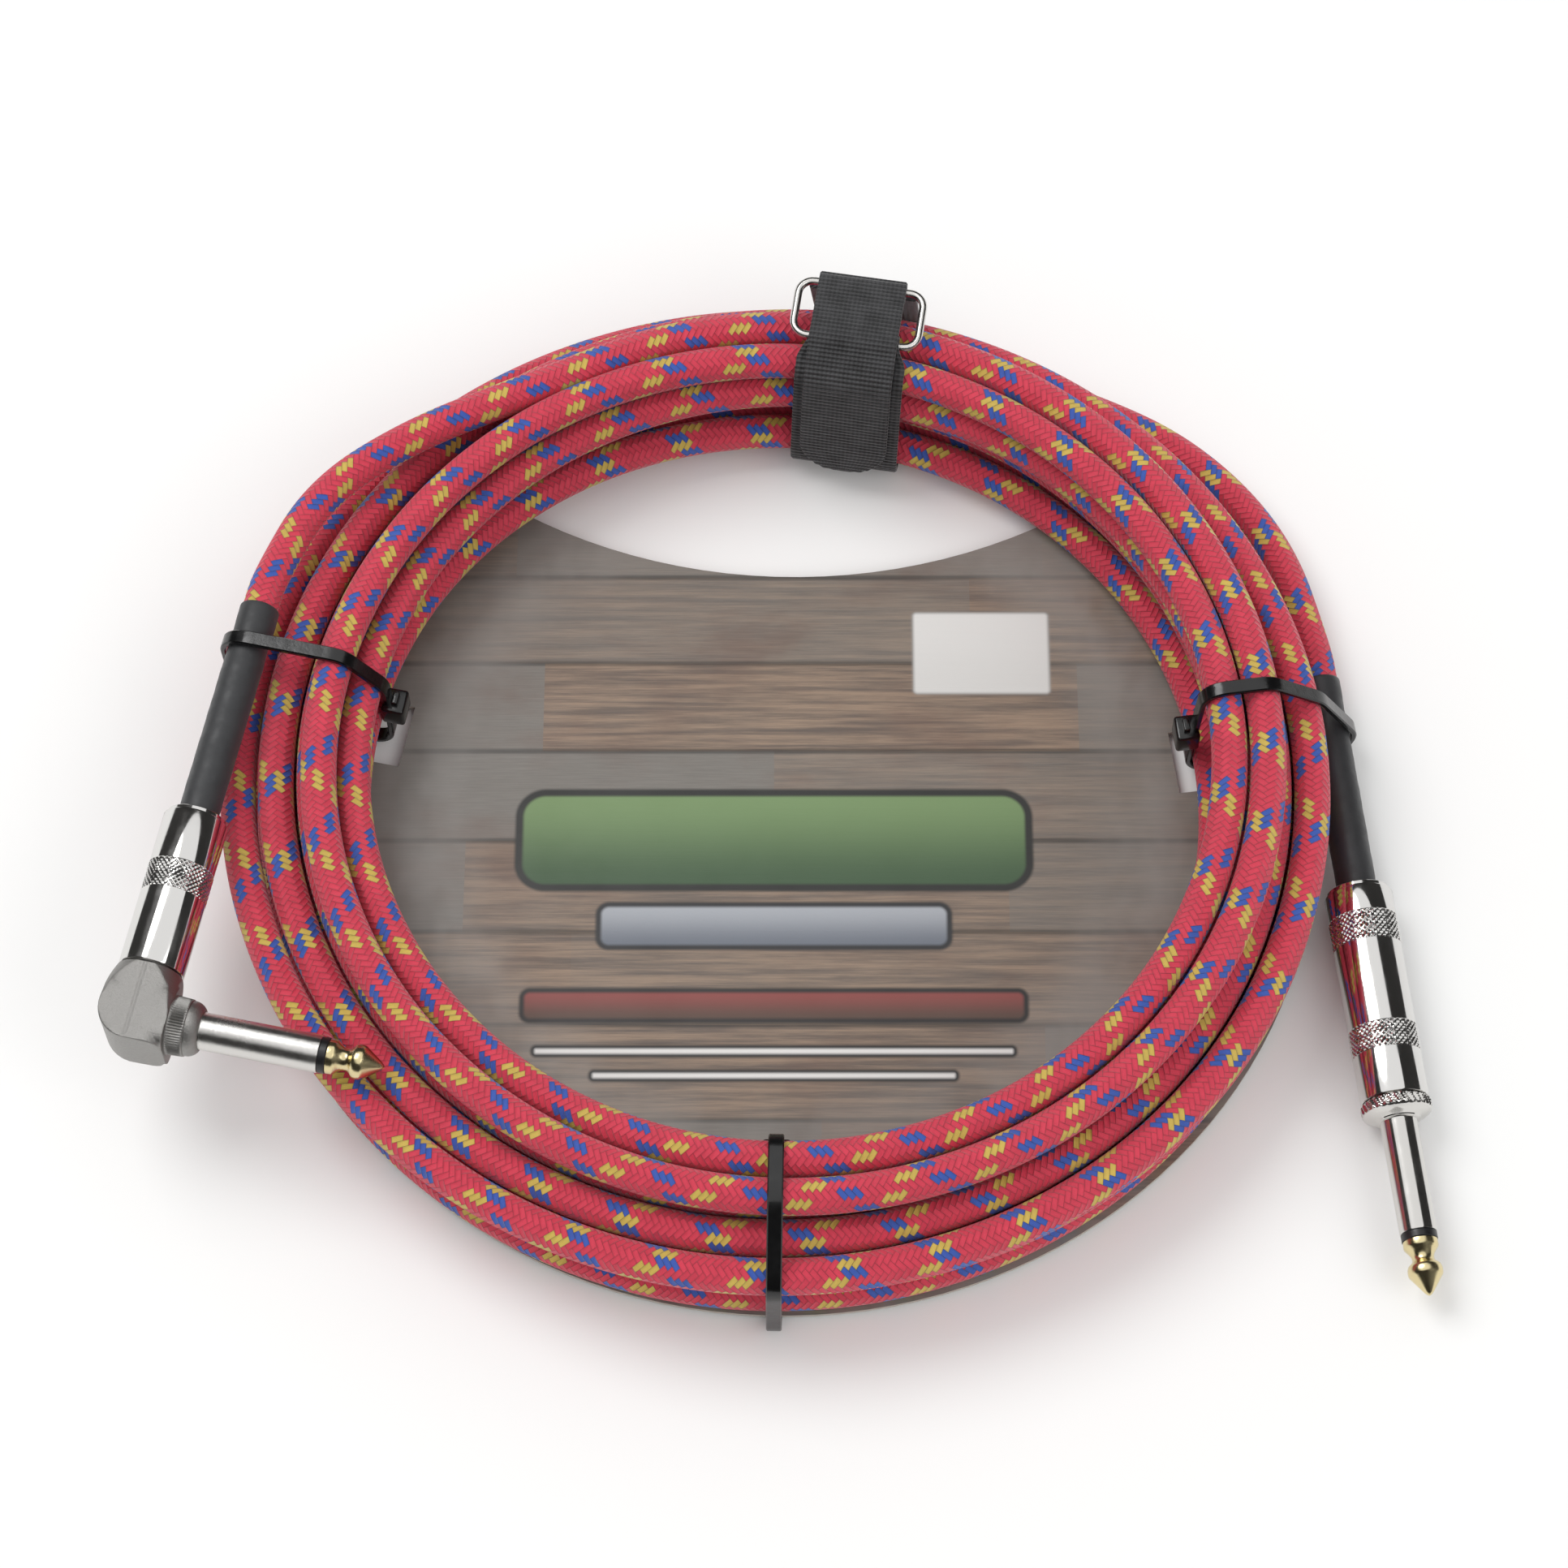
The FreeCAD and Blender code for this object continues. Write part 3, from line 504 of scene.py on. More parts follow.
def turned(name, outline, place, body, paint, columns=96, relief=None, sharp=35):
    rows = len(outline)
    points, faces, uv = [], [], []
    for x, r in outline:
        for k, swing in enumerate(allRound(columns)):
            radius = r + relief(x, r, k / columns) if relief else r
            points.append((x, radius * cos(swing), radius * sin(swing)))
    near = 0.0
    for i in range(rows):
        j = (i + 1) % rows
        far = near + dist(outline[i], outline[j])
        if max(outline[i][1], outline[j][1]) > 0.001:  # nothing to skin along the axis itself
            for k in range(columns):
                n = (k + 1) % columns
                faces.append((i * columns + k, i * columns + n, j * columns + n, j * columns + k))
                uv += [(near, k / columns), (near, (k + 1) / columns),
                       (far, (k + 1) / columns), (far, k / columns)]
        near = far
    made = piece(name, points, faces, place, body, paint, sharp, uv)
    join = bmesh.new()
    join.from_mesh(made.data)
    bmesh.ops.remove_doubles(join, verts=join.verts, dist=1e-7)
    bmesh.ops.recalc_face_normals(join, faces=join.faces)
    join.to_mesh(made.data)
    join.free()
    made.data.set_sharp_from_angle(angle=radians(sharp))
    return made


metal = {
    # colours
    "chrome": (0.71, 0.70, 0.685, 1),
    "chromeRoughness": 0.07,
    "nickel": (0.68, 0.665, 0.64, 1),
    "gold": (0.74, 0.63, 0.36, 1),
    # patterns: how many go round, and how deep they are
    "knurlCount": 38,
    "knurlDepth": 0.22,
    "ropeCount": 30,
    "ropeDepth": 0.2,
    "threadPitch": 1.0,
    "threadDepth": 0.32,
    "barrelBore": 4.95,
    "cordHole": 3.85,
    "shaftRadius": 3.175,
}


def chromePaint(name, colour, roughness, brushed=0.0, grain=0.0):
    paint = Paint(name, Base_Color=colour, Metallic=1.0, Roughness=roughness)
    smudge = paint.cloud(0.22, detail=5)
    fine = paint.cloud(2.5)
    paint.put("Roughness", smudge.ramp(0.35, 0.7, roughness, roughness + 0.07)
              + fine.ramp(0.4, 0.8, 0, 0.03))
    if brushed:
        along, around, _ = paint.coordinates("Surface")
        rings = paint.noise(along * 9, around * 3, scale=1.0, detail=4)
        paint.relief(rings, brushed)
    if grain:
        paint.relief(paint.cloud(3.2, detail=4, rough=0.7), grain)
    return paint


def valley(t):
    return abs(2 * (t % 1) - 1)


def knurl(bands, radius):
    count, depth = metal["knurlCount"], metal["knurlDepth"]
    pitch = 2 * pi * radius / count

    def relief(x, r, share):
        if r < radius - 0.05:
            return 0.0
        for start, end in bands:
            if start <= x <= end:
                a = count * share + (x - start) / pitch
                b = count * share - (x - start) / pitch
                return depth * (min(1, 1.5 * min(valley(a), valley(b))) - 0.8)
        return 0.0
    return relief


def barrel(name, rear, front, radius, bands, place, body, node):
    bore, hole, wall = metal["barrelBore"], metal["cordHole"], 2.5 - rear
    outline = [(-rear, hole), (-rear, radius - 0.62), (-rear + 0.12, radius - 0.5),
               (-rear + 0.65, radius - 0.44), (-rear + 0.75, radius - 0.3),
               (-rear + 0.87, radius - 0.08), (-rear + 1.05, radius)]
    for start, end in bands:
        outline += [(start - 0.35, radius), (start - 0.12, radius), (start - 0.02, radius - 0.14)]
        outline += steps(start, end, round((end - start) / 0.15), radius)
        outline += [(end + 0.02, radius - 0.14), (end + 0.12, radius), (end + 0.35, radius)]
    outline += [(-front - 0.3, radius), (-front - 0.1, radius - 0.07), (-front, radius - 0.25),
                (-front, bore + 0.05), (-front - 0.2, bore), (wall, bore), (wall, hole)]
    paint = chromePaint(name + "Chrome", metal["chrome"], metal["chromeRoughness"])
    made = turned(name, outline, place, body, paint, 6 * metal["knurlCount"],
                  knurl(bands, radius), sharp=28)
    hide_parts(node)


def ropeRelief(x, r, share):
    if -3.15 < x < -1.2 and r > 5.2:  # the roped collar
        wave = sin(2 * pi * (metal["ropeCount"] * share + (x + 3.1) * 0.42))
        height = metal["ropeDepth"] * copysign(abs(wave) ** 0.7, wave)
        return height * min(1, (-1.2 - x) * 2, (x + 3.15) * 4)
    if -11.4 < x < -3.3 and 4.3 < r < 4.7:  # the thread behind it
        return -metal["threadDepth"] * valley(x / metal["threadPitch"] + share)
    return 0.0


def tipOutline(base, rodEnd):
    shape = [(0, 2.0), (0, 2.82), (0.1, 2.93), (1.05, 2.95), (1.3, 2.84), (1.85, 2.4), (2.4, 2.02),
             (2.9, 1.86), (3.35, 1.86), (3.75, 2.02), (4.1, 2.4), (4.45, 2.76), (4.9, 2.93),
             (5.35, 2.97), (5.85, 2.94), (6.15, 2.82), (6.4, 2.62), (9.0, 0.78), (9.3, 0.5),
             (9.52, 0.22), (9.6, 0)]
    return [(rodEnd, 0), (rodEnd, 1.0), (base, 1.0)] + [(base + x, r) for x, r in shape]


def plugFront(plug, start, rear, rodEnd, place):
    ringStart = start + 20.3
    ringEnd = ringStart + 1.3
    gold = chromePaint(plug + "Gold", metal["gold"], 0.16, brushed=0.02)
    tip = turned(plug + "_gold_tip", tipOutline(ringEnd, rodEnd), place, "cable", gold, 72)
    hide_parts(plug + "_tip")
    black = Paint(plug + "Insulator", Base_Color=rgb(22, 22, 23), Roughness=0.35)
    black.put("Roughness", black.cloud(1.2).ramp(0.3, 0.7, 0.28, 0.45))
    outline = [(rear, 1.05), (rear, 1.6), (ringStart, 1.6), (ringStart, 2.95),
               (ringStart + 0.12, 3.05), (ringEnd - 0.12, 3.05), (ringEnd, 2.95), (ringEnd, 1.05)]
    ring = turned(plug + "_black_ring", outline, place, "cable", black, 72)
    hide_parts(plug + "_insulator")


def shaftEndOutline(end):
    return [(end - 0.25, metal["shaftRadius"]), (end - 0.06, 3.12), (end, 3.0), (end, 1.65)]


barrel("straight_barrel_knurled", 42.7, 3.4, 5.9, ((-37.0, -31.8), (-16.4, -11.7)), straightFrame,
       "straight_cover", "straight_barrel")
barrel("angle_barrel_knurled", 37.7, 8.5, 5.6, ((-27.4, -22.2),), angleRearFrame,
       "angle_cover", "angle_barrel")
plugFront("straight", 0.0, -11.5, -14.5, straightFrame)
plugFront("angle", 11.2, 1.0, -2.5, angleFrame)

outline = ([(-11.5, 1.65), (-11.5, 4.3)] + steps(-11.4, -3.3, 54, 4.6)
           + [(-3.2, 4.6), (-3.15, 5.5), (-3.1, 5.8)] + steps(-3.0, -1.3, 12, 5.84)
           + [(-1.15, 5.72), (-1.0, 5.5), (-0.7, 5.1), (-0.4, 4.55), (-0.15, 4.0), (-0.05, 3.85),
              (0.15, 3.75), (0.3, 3.5), (0.35, 3.25), (0.6, metal["shaftRadius"])]
           + shaftEndOutline(20.3))
shank = turned("straight_turned_shank", outline, straightFrame, "cable",
               chromePaint("shankNickel", metal["nickel"], 0.1), 180, ropeRelief, sharp=28)
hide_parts("straight_shank")

outline = ([(2.5, 1.65)] + [(x, metal["shaftRadius"]) for x in (2.5, 11.5, 20)]
           + shaftEndOutline(31.5))
shank = turned("angle_brushed_shank", outline, angleFrame, "cable",
               chromePaint("brushedNickel", metal["nickel"], 0.2, brushed=0.05), 96)
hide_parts("angle_shank")
print("plugs: turned pieces made")


# die-cast elbow: two square arms meeting on a round corner, with a ribbed collar for the shaft

elbow = {
    "reach": 5.8,
    "top": 8.2,
    "half": 5.45,
    "corner": 5.0,  # how square an arm's section is: 2 is round
    "turnedEnd": ((8.3, 5.6), (3.6, 7.3), (-7.0, 9.5)),
    "partingLine": (0.3, 0.09),  # half width and height
    "grain": 0.16,  # size of the mesh's cells
    "ribs": 64,
    "ribDepth": 0.2,
    "threadDepth": 0.3,
    "colour": (0.31, 0.302, 0.29, 1),
}


def prism(name, outline, low, high, toPlace):
    count = len(outline)
    points = [toPlace(a, b, c) for c in (low, high) for a, b in outline]
    faces = [(k, (k + 1) % count, count + (k + 1) % count, count + k) for k in range(count)]
    faces += [tuple(range(count))[::-1], tuple(range(count, 2 * count))]
    return rawObject(name, points, faces)


def combined(target, tool, how):
    change = target.modifiers.new("join", "BOOLEAN")
    change.object = tool
    change.operation = how
    change.solver = "EXACT"
    bake(target)
    bpy.data.objects.remove(tool)


def bake(target):
    graph = bpy.context.evaluated_depsgraph_get()
    mesh = bpy.data.meshes.new_from_object(target.evaluated_get(graph))
    target.modifiers.clear()
    target.data = mesh


def elbowBody():
    reach, top, half = elbow["reach"], elbow["top"], elbow["half"]
    power = 2 / elbow["corner"]
    swings = allRound(64)
    section = [(copysign(abs(cos(a)) ** power, cos(a)) * reach,
                copysign(abs(sin(a)) ** power, sin(a)) * half) for a in swings]
    body = prism("elbow", section, -6.5, top, lambda a, b, c: (a, c, b))
    combined(body, prism("arm", section, -6.5, 6.4, lambda a, b, c: (c, a, b)), "UNION")
    plan = [(-reach, top)] + [(reach * cos(a), reach * sin(a)) for a in
                              (radians(180 + 90 * k / 16) for k in range(17))]
    plan += [(6.1, -reach), (6.1, reach), (reach, reach), (reach, top)]
    combined(body, prism("plan", plan, -7, 7, lambda a, b, c: (a, b, c)), "INTERSECT")
    rings = [[Vector((r * cos(a), y, r * sin(a))) for a in swings]
             for y, r in elbow["turnedEnd"]]
    points, faces, _ = skin(rings, [0.0] * len(rings))
    combined(body, rawObject("turnedEnd", points, faces), "INTERSECT")
    remesh = body.modifiers.new("remesh", "REMESH")
    remesh.mode = "VOXEL"
    remesh.voxel_size = elbow["grain"]
    soften = body.modifiers.new("soften", "SMOOTH")
    soften.factor = 0.5
    soften.iterations = 4
    bake(body)
    lineHalf, lineHigh = elbow["partingLine"]
    for vertex in body.data.vertices:
        x, y, z = vertex.co
        if abs(z) > 3:
            vertex.co.z += copysign(lineHigh * smoothStep(1.3 - abs(x) / lineHalf)
                                         * smoothStep((y + 5.5) * 2), z)
    return body


def castPaint():
    paint = Paint("castNickel", Base_Color=elbow["colour"], Metallic=1.0, Roughness=0.4)
    grain = paint.cloud(2.6, detail=5, rough=0.75)
    paint.relief(grain, 0.10)
    paint.put("Roughness", grain.ramp(0.3, 0.7, 0.34, 0.48))
    return paint


def ribRelief(x, r, share):
    ribbed = min(1, max(0, (x - 6.2) * 3), max(0, (8.9 - x) * 3)) if r > 4.0 else 0
    return -elbow["ribDepth"] * ribbed * valley(elbow["ribs"] * share)


def stubRelief(x, r, share):
    return -elbow["threadDepth"] * valley(x + share) if r > 4.3 and x > 8.25 else 0


def makeElbow():
    paint = castPaint()
    points, faces = takenFrom(elbowBody())
    made = piece("angle_cast_elbow", points, faces, angleFrame, "cable", paint, 60)
    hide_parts("angle_elbow")
    outline = ([(5.6, 3.3), (5.6, 4.9), (6.1, 5.05)]
               + [(x, r - (x - 6.3) * 0.06) for x, r in steps(6.3, 8.8, 12, 5.0)]
               + [(8.95, 4.8), (9.05, 4.62), (9.3, 4.66), (9.7, 4.62), (10.2, 4.45), (10.7, 4.12),
                  (11.05, 3.75), (11.2, 3.45), (11.2, 3.22)])
    collar = turned("angle_ribbed_collar", outline, angleFrame, "cable", paint, 6 * elbow["ribs"],
                    ribRelief, sharp=30)
    outline = ([(elbow["top"] - 0.2, 3.05), (elbow["top"] - 0.2, 4.6)] + steps(8.3, 12.8, 36, 4.6)
               + [(13.0, 4.4), (13.0, 3.05)])
    turn = angleFrame @ Matrix.Rotation(radians(90), 4, "Z")
    thread = turned("angle_thread", outline, turn, "cable", paint, 96, stubRelief)


makeElbow()
print("plugs: elbow made")


# heat-shrink boots over the cord, creased where a tie crosses them

boots = {
    "radius": 3.5,
    "inner": 3.16,
    "length": 41.0,  # outside the barrel
    "creaseDepth": 0.09,
    "colour": rgb(45, 46, 48),
}


def makeBoot(plug, rear, place, crease):
    mouthX, inside = -rear - boots["length"], -rear + 1.5
    outline = [(mouthX, boots["inner"]), (mouthX, 3.36), (mouthX + 0.15, 3.46)]
    outline += steps(mouthX + 0.4, inside, 60, boots["radius"]) + [(inside, boots["inner"])]

    def relief(x, r, share):
        if r < 3.4:
            return 0.0
        wave = 0.02 * sin(x * 0.9 + 6.3 * share) + 0.015 * sin(x * 2.3 - 12.6 * share)
        dent = sum(exp(-((x - spot) / 1.3) ** 2) for spot in crease)
        return wave - 0.035 - boots["creaseDepth"] * dent
    paint = Paint(plug + "HeatShrink", Base_Color=boots["colour"], Roughness=0.5,
                  Sheen_Weight=0.12, Sheen_Roughness=0.5)
    cloud = paint.cloud(0.35, detail=5)
    dust = paint.cloud(4.0, detail=2)
    paint.put("Roughness", cloud.ramp(0.3, 0.7, 0.42, 0.6))
    paint.put("Base Color", paint.mix(dust.ramp(0.66, 0.8, 0.0, 0.25), boots["colour"],
                                      rgb(96, 97, 98)))
    paint.relief(cloud, 0.08)
    made = turned(plug + "_heat_shrink", outline, place, "cable", paint, 64, relief)
    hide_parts(plug + "_boot")


makeBoot("straight", 42.7, straightFrame, (-78.0,))
makeBoot("angle", 37.7, angleRearFrame, (-70.6, -72.9))


# flat bands round the bundle: outlines in a radial plane as (out, up) pairs

def bundleAt(angle, asides):
    runs = [(line, cord["width"] / 2)]
    runs += [((mouth, mouth - way * boots["length"]), boots["radius"])
             for mouth, way, _ in mouths.values()]
    return [(spot, radius) for run, radius in runs for aside in asides
            for spot in crossingsAt(run, angle, aside)]


def hullOf(points):
    ordered = sorted(set(points))
    sides = []
    for row in (ordered, ordered[::-1]):
        kept = []
        for x, z in row:
            while len(kept) > 1 and ((kept[-1][0] - kept[-2][0]) * (z - kept[-2][1])
                                     <= (kept[-1][1] - kept[-2][1]) * (x - kept[-2][0])):
                kept.pop()
            kept.append((x, z))
        sides += kept[:-1]
    return sides


def roundTheBundle(circles, reach):
    spread = []
    for (x, z), radius in circles:
        for swing in allRound(48):
            spread.append((round(x + (radius + reach) * cos(swing), 5),
                           round(z + (radius + reach) * sin(swing), 5)))
    return hullOf(spread)


def evenly(outline, step, closed=True):
    rows = outline + outline[:1] if closed else outline
    marks = [0.0]
    for a, b in zip(rows[:-1], rows[1:]):
        marks.append(marks[-1] + dist(a, b))
    count = max(8, round(marks[-1] / step))
    found, i = [], 0
    for n in range(count if closed else count + 1):
        at = marks[-1] * n / count
        while i < len(marks) - 2 and marks[i + 1] < at:
            i += 1
        part = (at - marks[i]) / max(marks[i + 1] - marks[i], 1e-9)
        found.append(tuple(rows[i][k] + (rows[i + 1][k] - rows[i][k]) * part for k in (0, 1)))
    return found


def softened(outline, times, closed=True):
    for _ in range(times):
        found = []
        for i, here in enumerate(outline):
            if not closed and i in (0, len(outline) - 1):
                found.append(here)
                continue
            before, after = neighbours(outline, i, closed)
            found.append(tuple((before[k] + 2 * here[k] + after[k]) / 4 for k in (0, 1)))
        outline = found
    return outline


def bandAlong(name, outline, section, place, body, paint, closed=True, sharp=40):
    # section(distance) gives (outwards, sideways) pairs round the band's cross-section
    rings, lines, length = [], [], 0.0
    for i, (x, z) in enumerate(outline):
        before, after = neighbours(outline, i, closed)
        dx, dz = after[0] - before[0], after[1] - before[1]
        size = hypot(dx, dz)
        out = (dz / size, -dx / size)
        if i:
            length += dist(outline[i], outline[i - 1])
        rings.append([Vector((x + out[0] * o, s, z + out[1] * o))
                      for o, s in section(length)])
        lines.append(length)
    points, faces, uv = skin(rings, lines, closed)
    return piece(name, points, faces, place, body, paint, sharp, uv)


tie = {
    "width": 2.6,
    "thickness": 1.1,
    "edge": 0.22,
    "footRadius": 3.1,  # where the band turns under the card
    "headSize": 4.8,
    "headBase": 11.0,
    "tailLength": 1.2,
    "colour": rgb(12, 12, 13),
}


def tiePaint():
    paint = Paint("tieNylon", Base_Color=tie["colour"], Roughness=0.2, Specular_IOR_Level=0.6)
    cloud = paint.cloud(0.5, detail=4)
    paint.put("Roughness", cloud.ramp(0.3, 0.75, 0.14, 0.26))
    paint.relief(cloud, 0.04)
    return paint


def softBox(low, high, bevel):
    corners = [(x, y, z) for z in (low[2], high[2])
               for x, y in (low[:2], (high[0], low[1]), high[:2], (low[0], high[1]))]
    block = rawObject("block", corners, [(3, 2, 1, 0), (4, 5, 6, 7), (0, 1, 5, 4), (1, 2, 6, 5),
                                         (2, 3, 7, 6), (3, 0, 4, 7)])
    change = block.modifiers.new("bevel", "BEVEL")
    change.width = bevel
    change.segments = 3
    bake(block)
    return takenFrom(block)


def joined(parts):
    points, faces = [], []
    for more, shapes in parts:
        shift = len(points)
        points += more
        faces += [tuple(i + shift for i in face) for face in shapes]
    return points, faces


def makeTie(label, angle, paint):
    place = placed(0, 0, 0, angle)
    circles = bundleAt(angle, (-0.9, 0, 0.9))
    ends = min(x for (x, z), r in circles), max(x for (x, z), r in circles)
    foot = tie["footRadius"]
    circles += [((x, tie["thickness"] + foot + 0.1), foot) for x in ends]
    half, deep, edge = tie["width"] / 2, tie["thickness"], tie["edge"]

    def section(distance):
        return [(0.1, -half + edge), (0.1 + edge, -half), (deep - edge, -half),
                (deep, -half + edge), (deep, half - edge), (deep - edge, half),
                (0.1 + edge, half), (0.1, half - edge)]
    inner = [(x, max(z, deep)) for x, z in roundTheBundle(circles, 0.1)]
    outline = softened(evenly(inner, 0.5), 3)
    band = bandAlong("tie_%s_band" % label, outline, section, place, "cable", paint)
    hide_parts("tie_" + label)
    size, base = tie["headSize"], tie["headBase"]
    side = min(x for x, z in outline if abs(z - base - 2.4) < 1.5)
    head = softBox((side - size + 0.9, -size / 2, base), (side + 0.2, size / 2, base + size), 0.55)
    tail = softBox((side - 2.6, -half + 0.1, base + size - 0.4),
                   (side - 1.5, half - 0.1, base + size + tie["tailLength"]), 0.2)
    points, faces = joined([head, tail])
    made = piece("tie_%s_head" % label, points, faces, place, "cable", paint, 40)


nylon = tiePaint()
for label, angle in tieAngles.items():
    makeTie(label, angle, nylon)
print("ties made")


# strap: webbing round the bundle, its front end turned over the ring's far bar

strap = {
    "width": 19.4,
    "barWidth": 16.0,  # where the band narrows to go round the ring's bar
    "frontWidth": 15.7,
    "thickness": 1.2,
    "nearBar": (79.6, 30.6),
    "farBar": (90.0, 32.1),
    "endHeight": 6.5,
    "endRound": 7.0,
    "ribPitch": 0.78,
    "ribHeight": 0.09,
    "wire": 0.72,
    "ringSpan": 22.5,
    "ringCorner": 2.6,
    "looseness": 0.1,
    "step": 0.15,
    "colour": rgb(47, 47, 49),
}


def webbingPaint():
    paint = Paint("webbing", Base_Color=strap["colour"], Roughness=0.6, Sheen_Weight=0.3,
                  Sheen_Roughness=0.4)
    along, across, _ = paint.coordinates("Surface")
    ribs = (along * (2 * pi / strap["ribPitch"])).sine() * 0.5 + 0.5
    threads = (across * (2 * pi * 44)).sine() * 0.5 + 0.5
    odd = ((along * (1 / strap["ribPitch"])).floor() * 0.5 + across * 22).floor() % 2
    cloud = paint.cloud(0.3, detail=4)
    # painted shade: the colour darkens between the ribs and threads, where the relief is low; the
    # cloud adds random tone
    shade = (ribs * 0.35 + threads * 0.2 + 0.5) * cloud.ramp(0.25, 0.75, 0.8, 1.25)
    paint.put("Base Color", paint.mix(shade.ramp(0.3, 1.15), rgb(17, 17, 18), rgb(62, 62, 64)))
    paint.relief(ribs * 0.5 + threads * 0.4 + odd * 0.15, 0.16)
    return paint


def arcRound(centre, radius, start, end, count):
    return [(centre[0] + radius * cos(a), centre[1] + radius * sin(a)) for a in
            (radians(start + (end - start) * k / count) for k in range(count + 1))]


def webbingSection(width):
    columns = 24

    def section(distance):
        half, deep = width(distance) / 2, strap["thickness"] / 2
        rise = strap["ribHeight"] * sin(2 * pi * distance / strap["ribPitch"])
        row = [(deep - 0.1 + rise, half * (2 * k / columns - 1) * 0.965)
               for k in range(columns + 1)]
        row += [(deep * 0.55, half), (-deep * 0.55, half)]
        row += [(-deep + 0.05, -s) for o, s in row[:columns + 1]]
        row += [(-deep * 0.55, -half), (deep * 0.55, -half)]
        return row
    return section


def startedAt(rows, spot):
    start = min(range(len(rows)), key=lambda i: dist(rows[i], spot))
    return rows[start:] + rows[:start]


def cutAt(rows, height, allowed):
    found = [i for i, spot in enumerate(rows) if allowed(i, spot[0])]
    return rows[:min(found, key=lambda i: abs(rows[i][1] - height)) + 1]


def eased(rows, times):
    return softened(evenly(softened(rows, 2, False), strap["step"], False), times, False)


def makeBand(circles, turnRadius, paint):
    # round the near bar, down the inner side, under, and up the outer side to the far bar
    near, far = strap["nearBar"], strap["farBar"]
    rows = evenly(roundTheBundle(circles + [((far[0] - 0.9, far[1] - 4.0), 1.0)], 1.15),
                  strap["step"])
    rows = startedAt(rows, (near[0] - 3.0, near[1] - 2.0))
    rows = cutAt(rows, far[1] - 2.5, lambda i, x: x > 88 and i > 50)
    path = eased(arcRound(near, turnRadius + strap["looseness"], -60, 110, 20) + rows, 12)

    def bandWidth(distance):
        wider = strap["width"] - strap["barWidth"]
        return strap["barWidth"] + wider * smoothStep((distance - 4) / 5)
    band = bandAlong("strap_webbing_band", path, webbingSection(bandWidth), strapFrame, "cable",
                     paint, False)
    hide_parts("strap_band")


def makeFront(circles, turnRadius, paint):
    # turned on the far bar, over the top and down the inner side
    near, far = strap["nearBar"], strap["farBar"]
    top = far[1] + 1.91 - strap["thickness"] / 2
    bend = 3.5
    over = roundTheBundle([((x, top - bend), 0) for x in (near[0], far[0])], bend)
    rows = evenly(hullOf(roundTheBundle(circles, 3.0) + over), strap["step"])
    rows = startedAt(rows, (far[0] - 1.0, top))
    rows = cutAt(rows, strap["endHeight"], lambda i, x: x < 76)
    path = eased(arcRound(far, turnRadius, -165, 75, 26) + rows, 10)
    total = strap["step"] * (len(path) - 1)

    def frontWidth(distance):
        left = max(total - distance, 0.0) / strap["endRound"]
        if left >= 1:
            return strap["frontWidth"]
        return max(strap["frontWidth"] * sqrt(max(1 - (1 - left) ** 2.2, 0.0)), 0.6)
    front = bandAlong("strap_webbing_front", path, webbingSection(frontWidth), strapFrame,
                      "strap_front", paint, False)
    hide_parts("strap_tail")


def makeStrap():
    circles = bundleAt(strapAngle, (-9.5, 0, 9.5))
    turnRadius = strap["wire"] + strap["looseness"] + strap["thickness"] / 2
    paint = webbingPaint()
    makeBand(circles, turnRadius, paint)
    makeFront(circles, turnRadius, paint)


def makeRing():
    near, far = strap["nearBar"], strap["farBar"]
    half, corner = strap["ringSpan"] / 2, strap["ringCorner"]
    length = dist(near, far)
    out = Vector((far[0] - near[0], 0, far[1] - near[1])) / length
    side = Vector((0, 1, 0))
    centre = Vector(((near[0] + far[0]) / 2, 0, (near[1] + far[1]) / 2))
    points = []
    for signU, signV, start in ((1, 1, 0), (-1, 1, 90), (-1, -1, 180), (1, -1, 270)):
        for k in range(9):
            swing = radians(start + 90 * k / 8)
            points.append(centre + out * (signU * (length / 2 - corner) + corner * cos(swing))
                          + side * (signV * (half - corner) + corner * sin(swing)))
    dense = []
    for a, b in zip(points, points[1:] + points[:1]):
        pieces = max(1, round((b - a).length / 1.0))
        dense += [a + (b - a) * (k / pieces) for k in range(pieces)]
    rings, lines = tubeRings(dense, strap["wire"], 16, closed=True)
    wirePoints, faces, uv = skin(rings, lines, closed=True)
    paint = chromePaint("ringWire", metal["nickel"], 0.16, grain=0.02)
    made = piece("strap_wire_ring", wirePoints, faces, strapFrame, "cable", paint, 60, uv)
    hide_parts("strap_ring")


makeStrap()
makeRing()
print("strap made")


# card: weathered planks printed on the board, with blank panels

card = {
    "plankWidth": 17.5,
    "light": rgb(150, 128, 108),
    "dark": rgb(96, 84, 76),
    "grey": rgb(118, 114, 108),
    "edge": rgb(168, 160, 150),
    # pale grey of the painted glare near the rim
    "paintedGlare": rgb(152, 149, 144),
    # centre, half size, corner radius, border width, border, lower and upper colour
    "panels": (
        ((0, -6), (44, 8.5), 4, 1.4, rgb(34, 34, 32), rgb(58, 84, 56), rgb(112, 138, 92)),
        ((0, -22.5), (30, 3.6), 1.4, 1.0, rgb(38, 38, 40), rgb(104, 110, 120), rgb(160, 164, 170)),
        ((0, -37.5), (43, 2.4), 1.0, 0.9, rgb(34, 30, 29), rgb(84, 62, 52), rgb(134, 66, 62)),
        ((0, -46), (41, 0.45), 0.3, 0.7, rgb(24, 22, 22), rgb(224, 223, 220), rgb(232, 231, 228)),
        ((0, -50.5), (31, 0.45), 0.3, 0.7, rgb(24, 22, 22), rgb(224, 223, 220), rgb(232, 231, 228)),
        ((37, 31), (12, 8), 0.6, 0.3, rgb(150, 148, 145), rgb(204, 203, 200), rgb(214, 213, 210)),
    ),
}


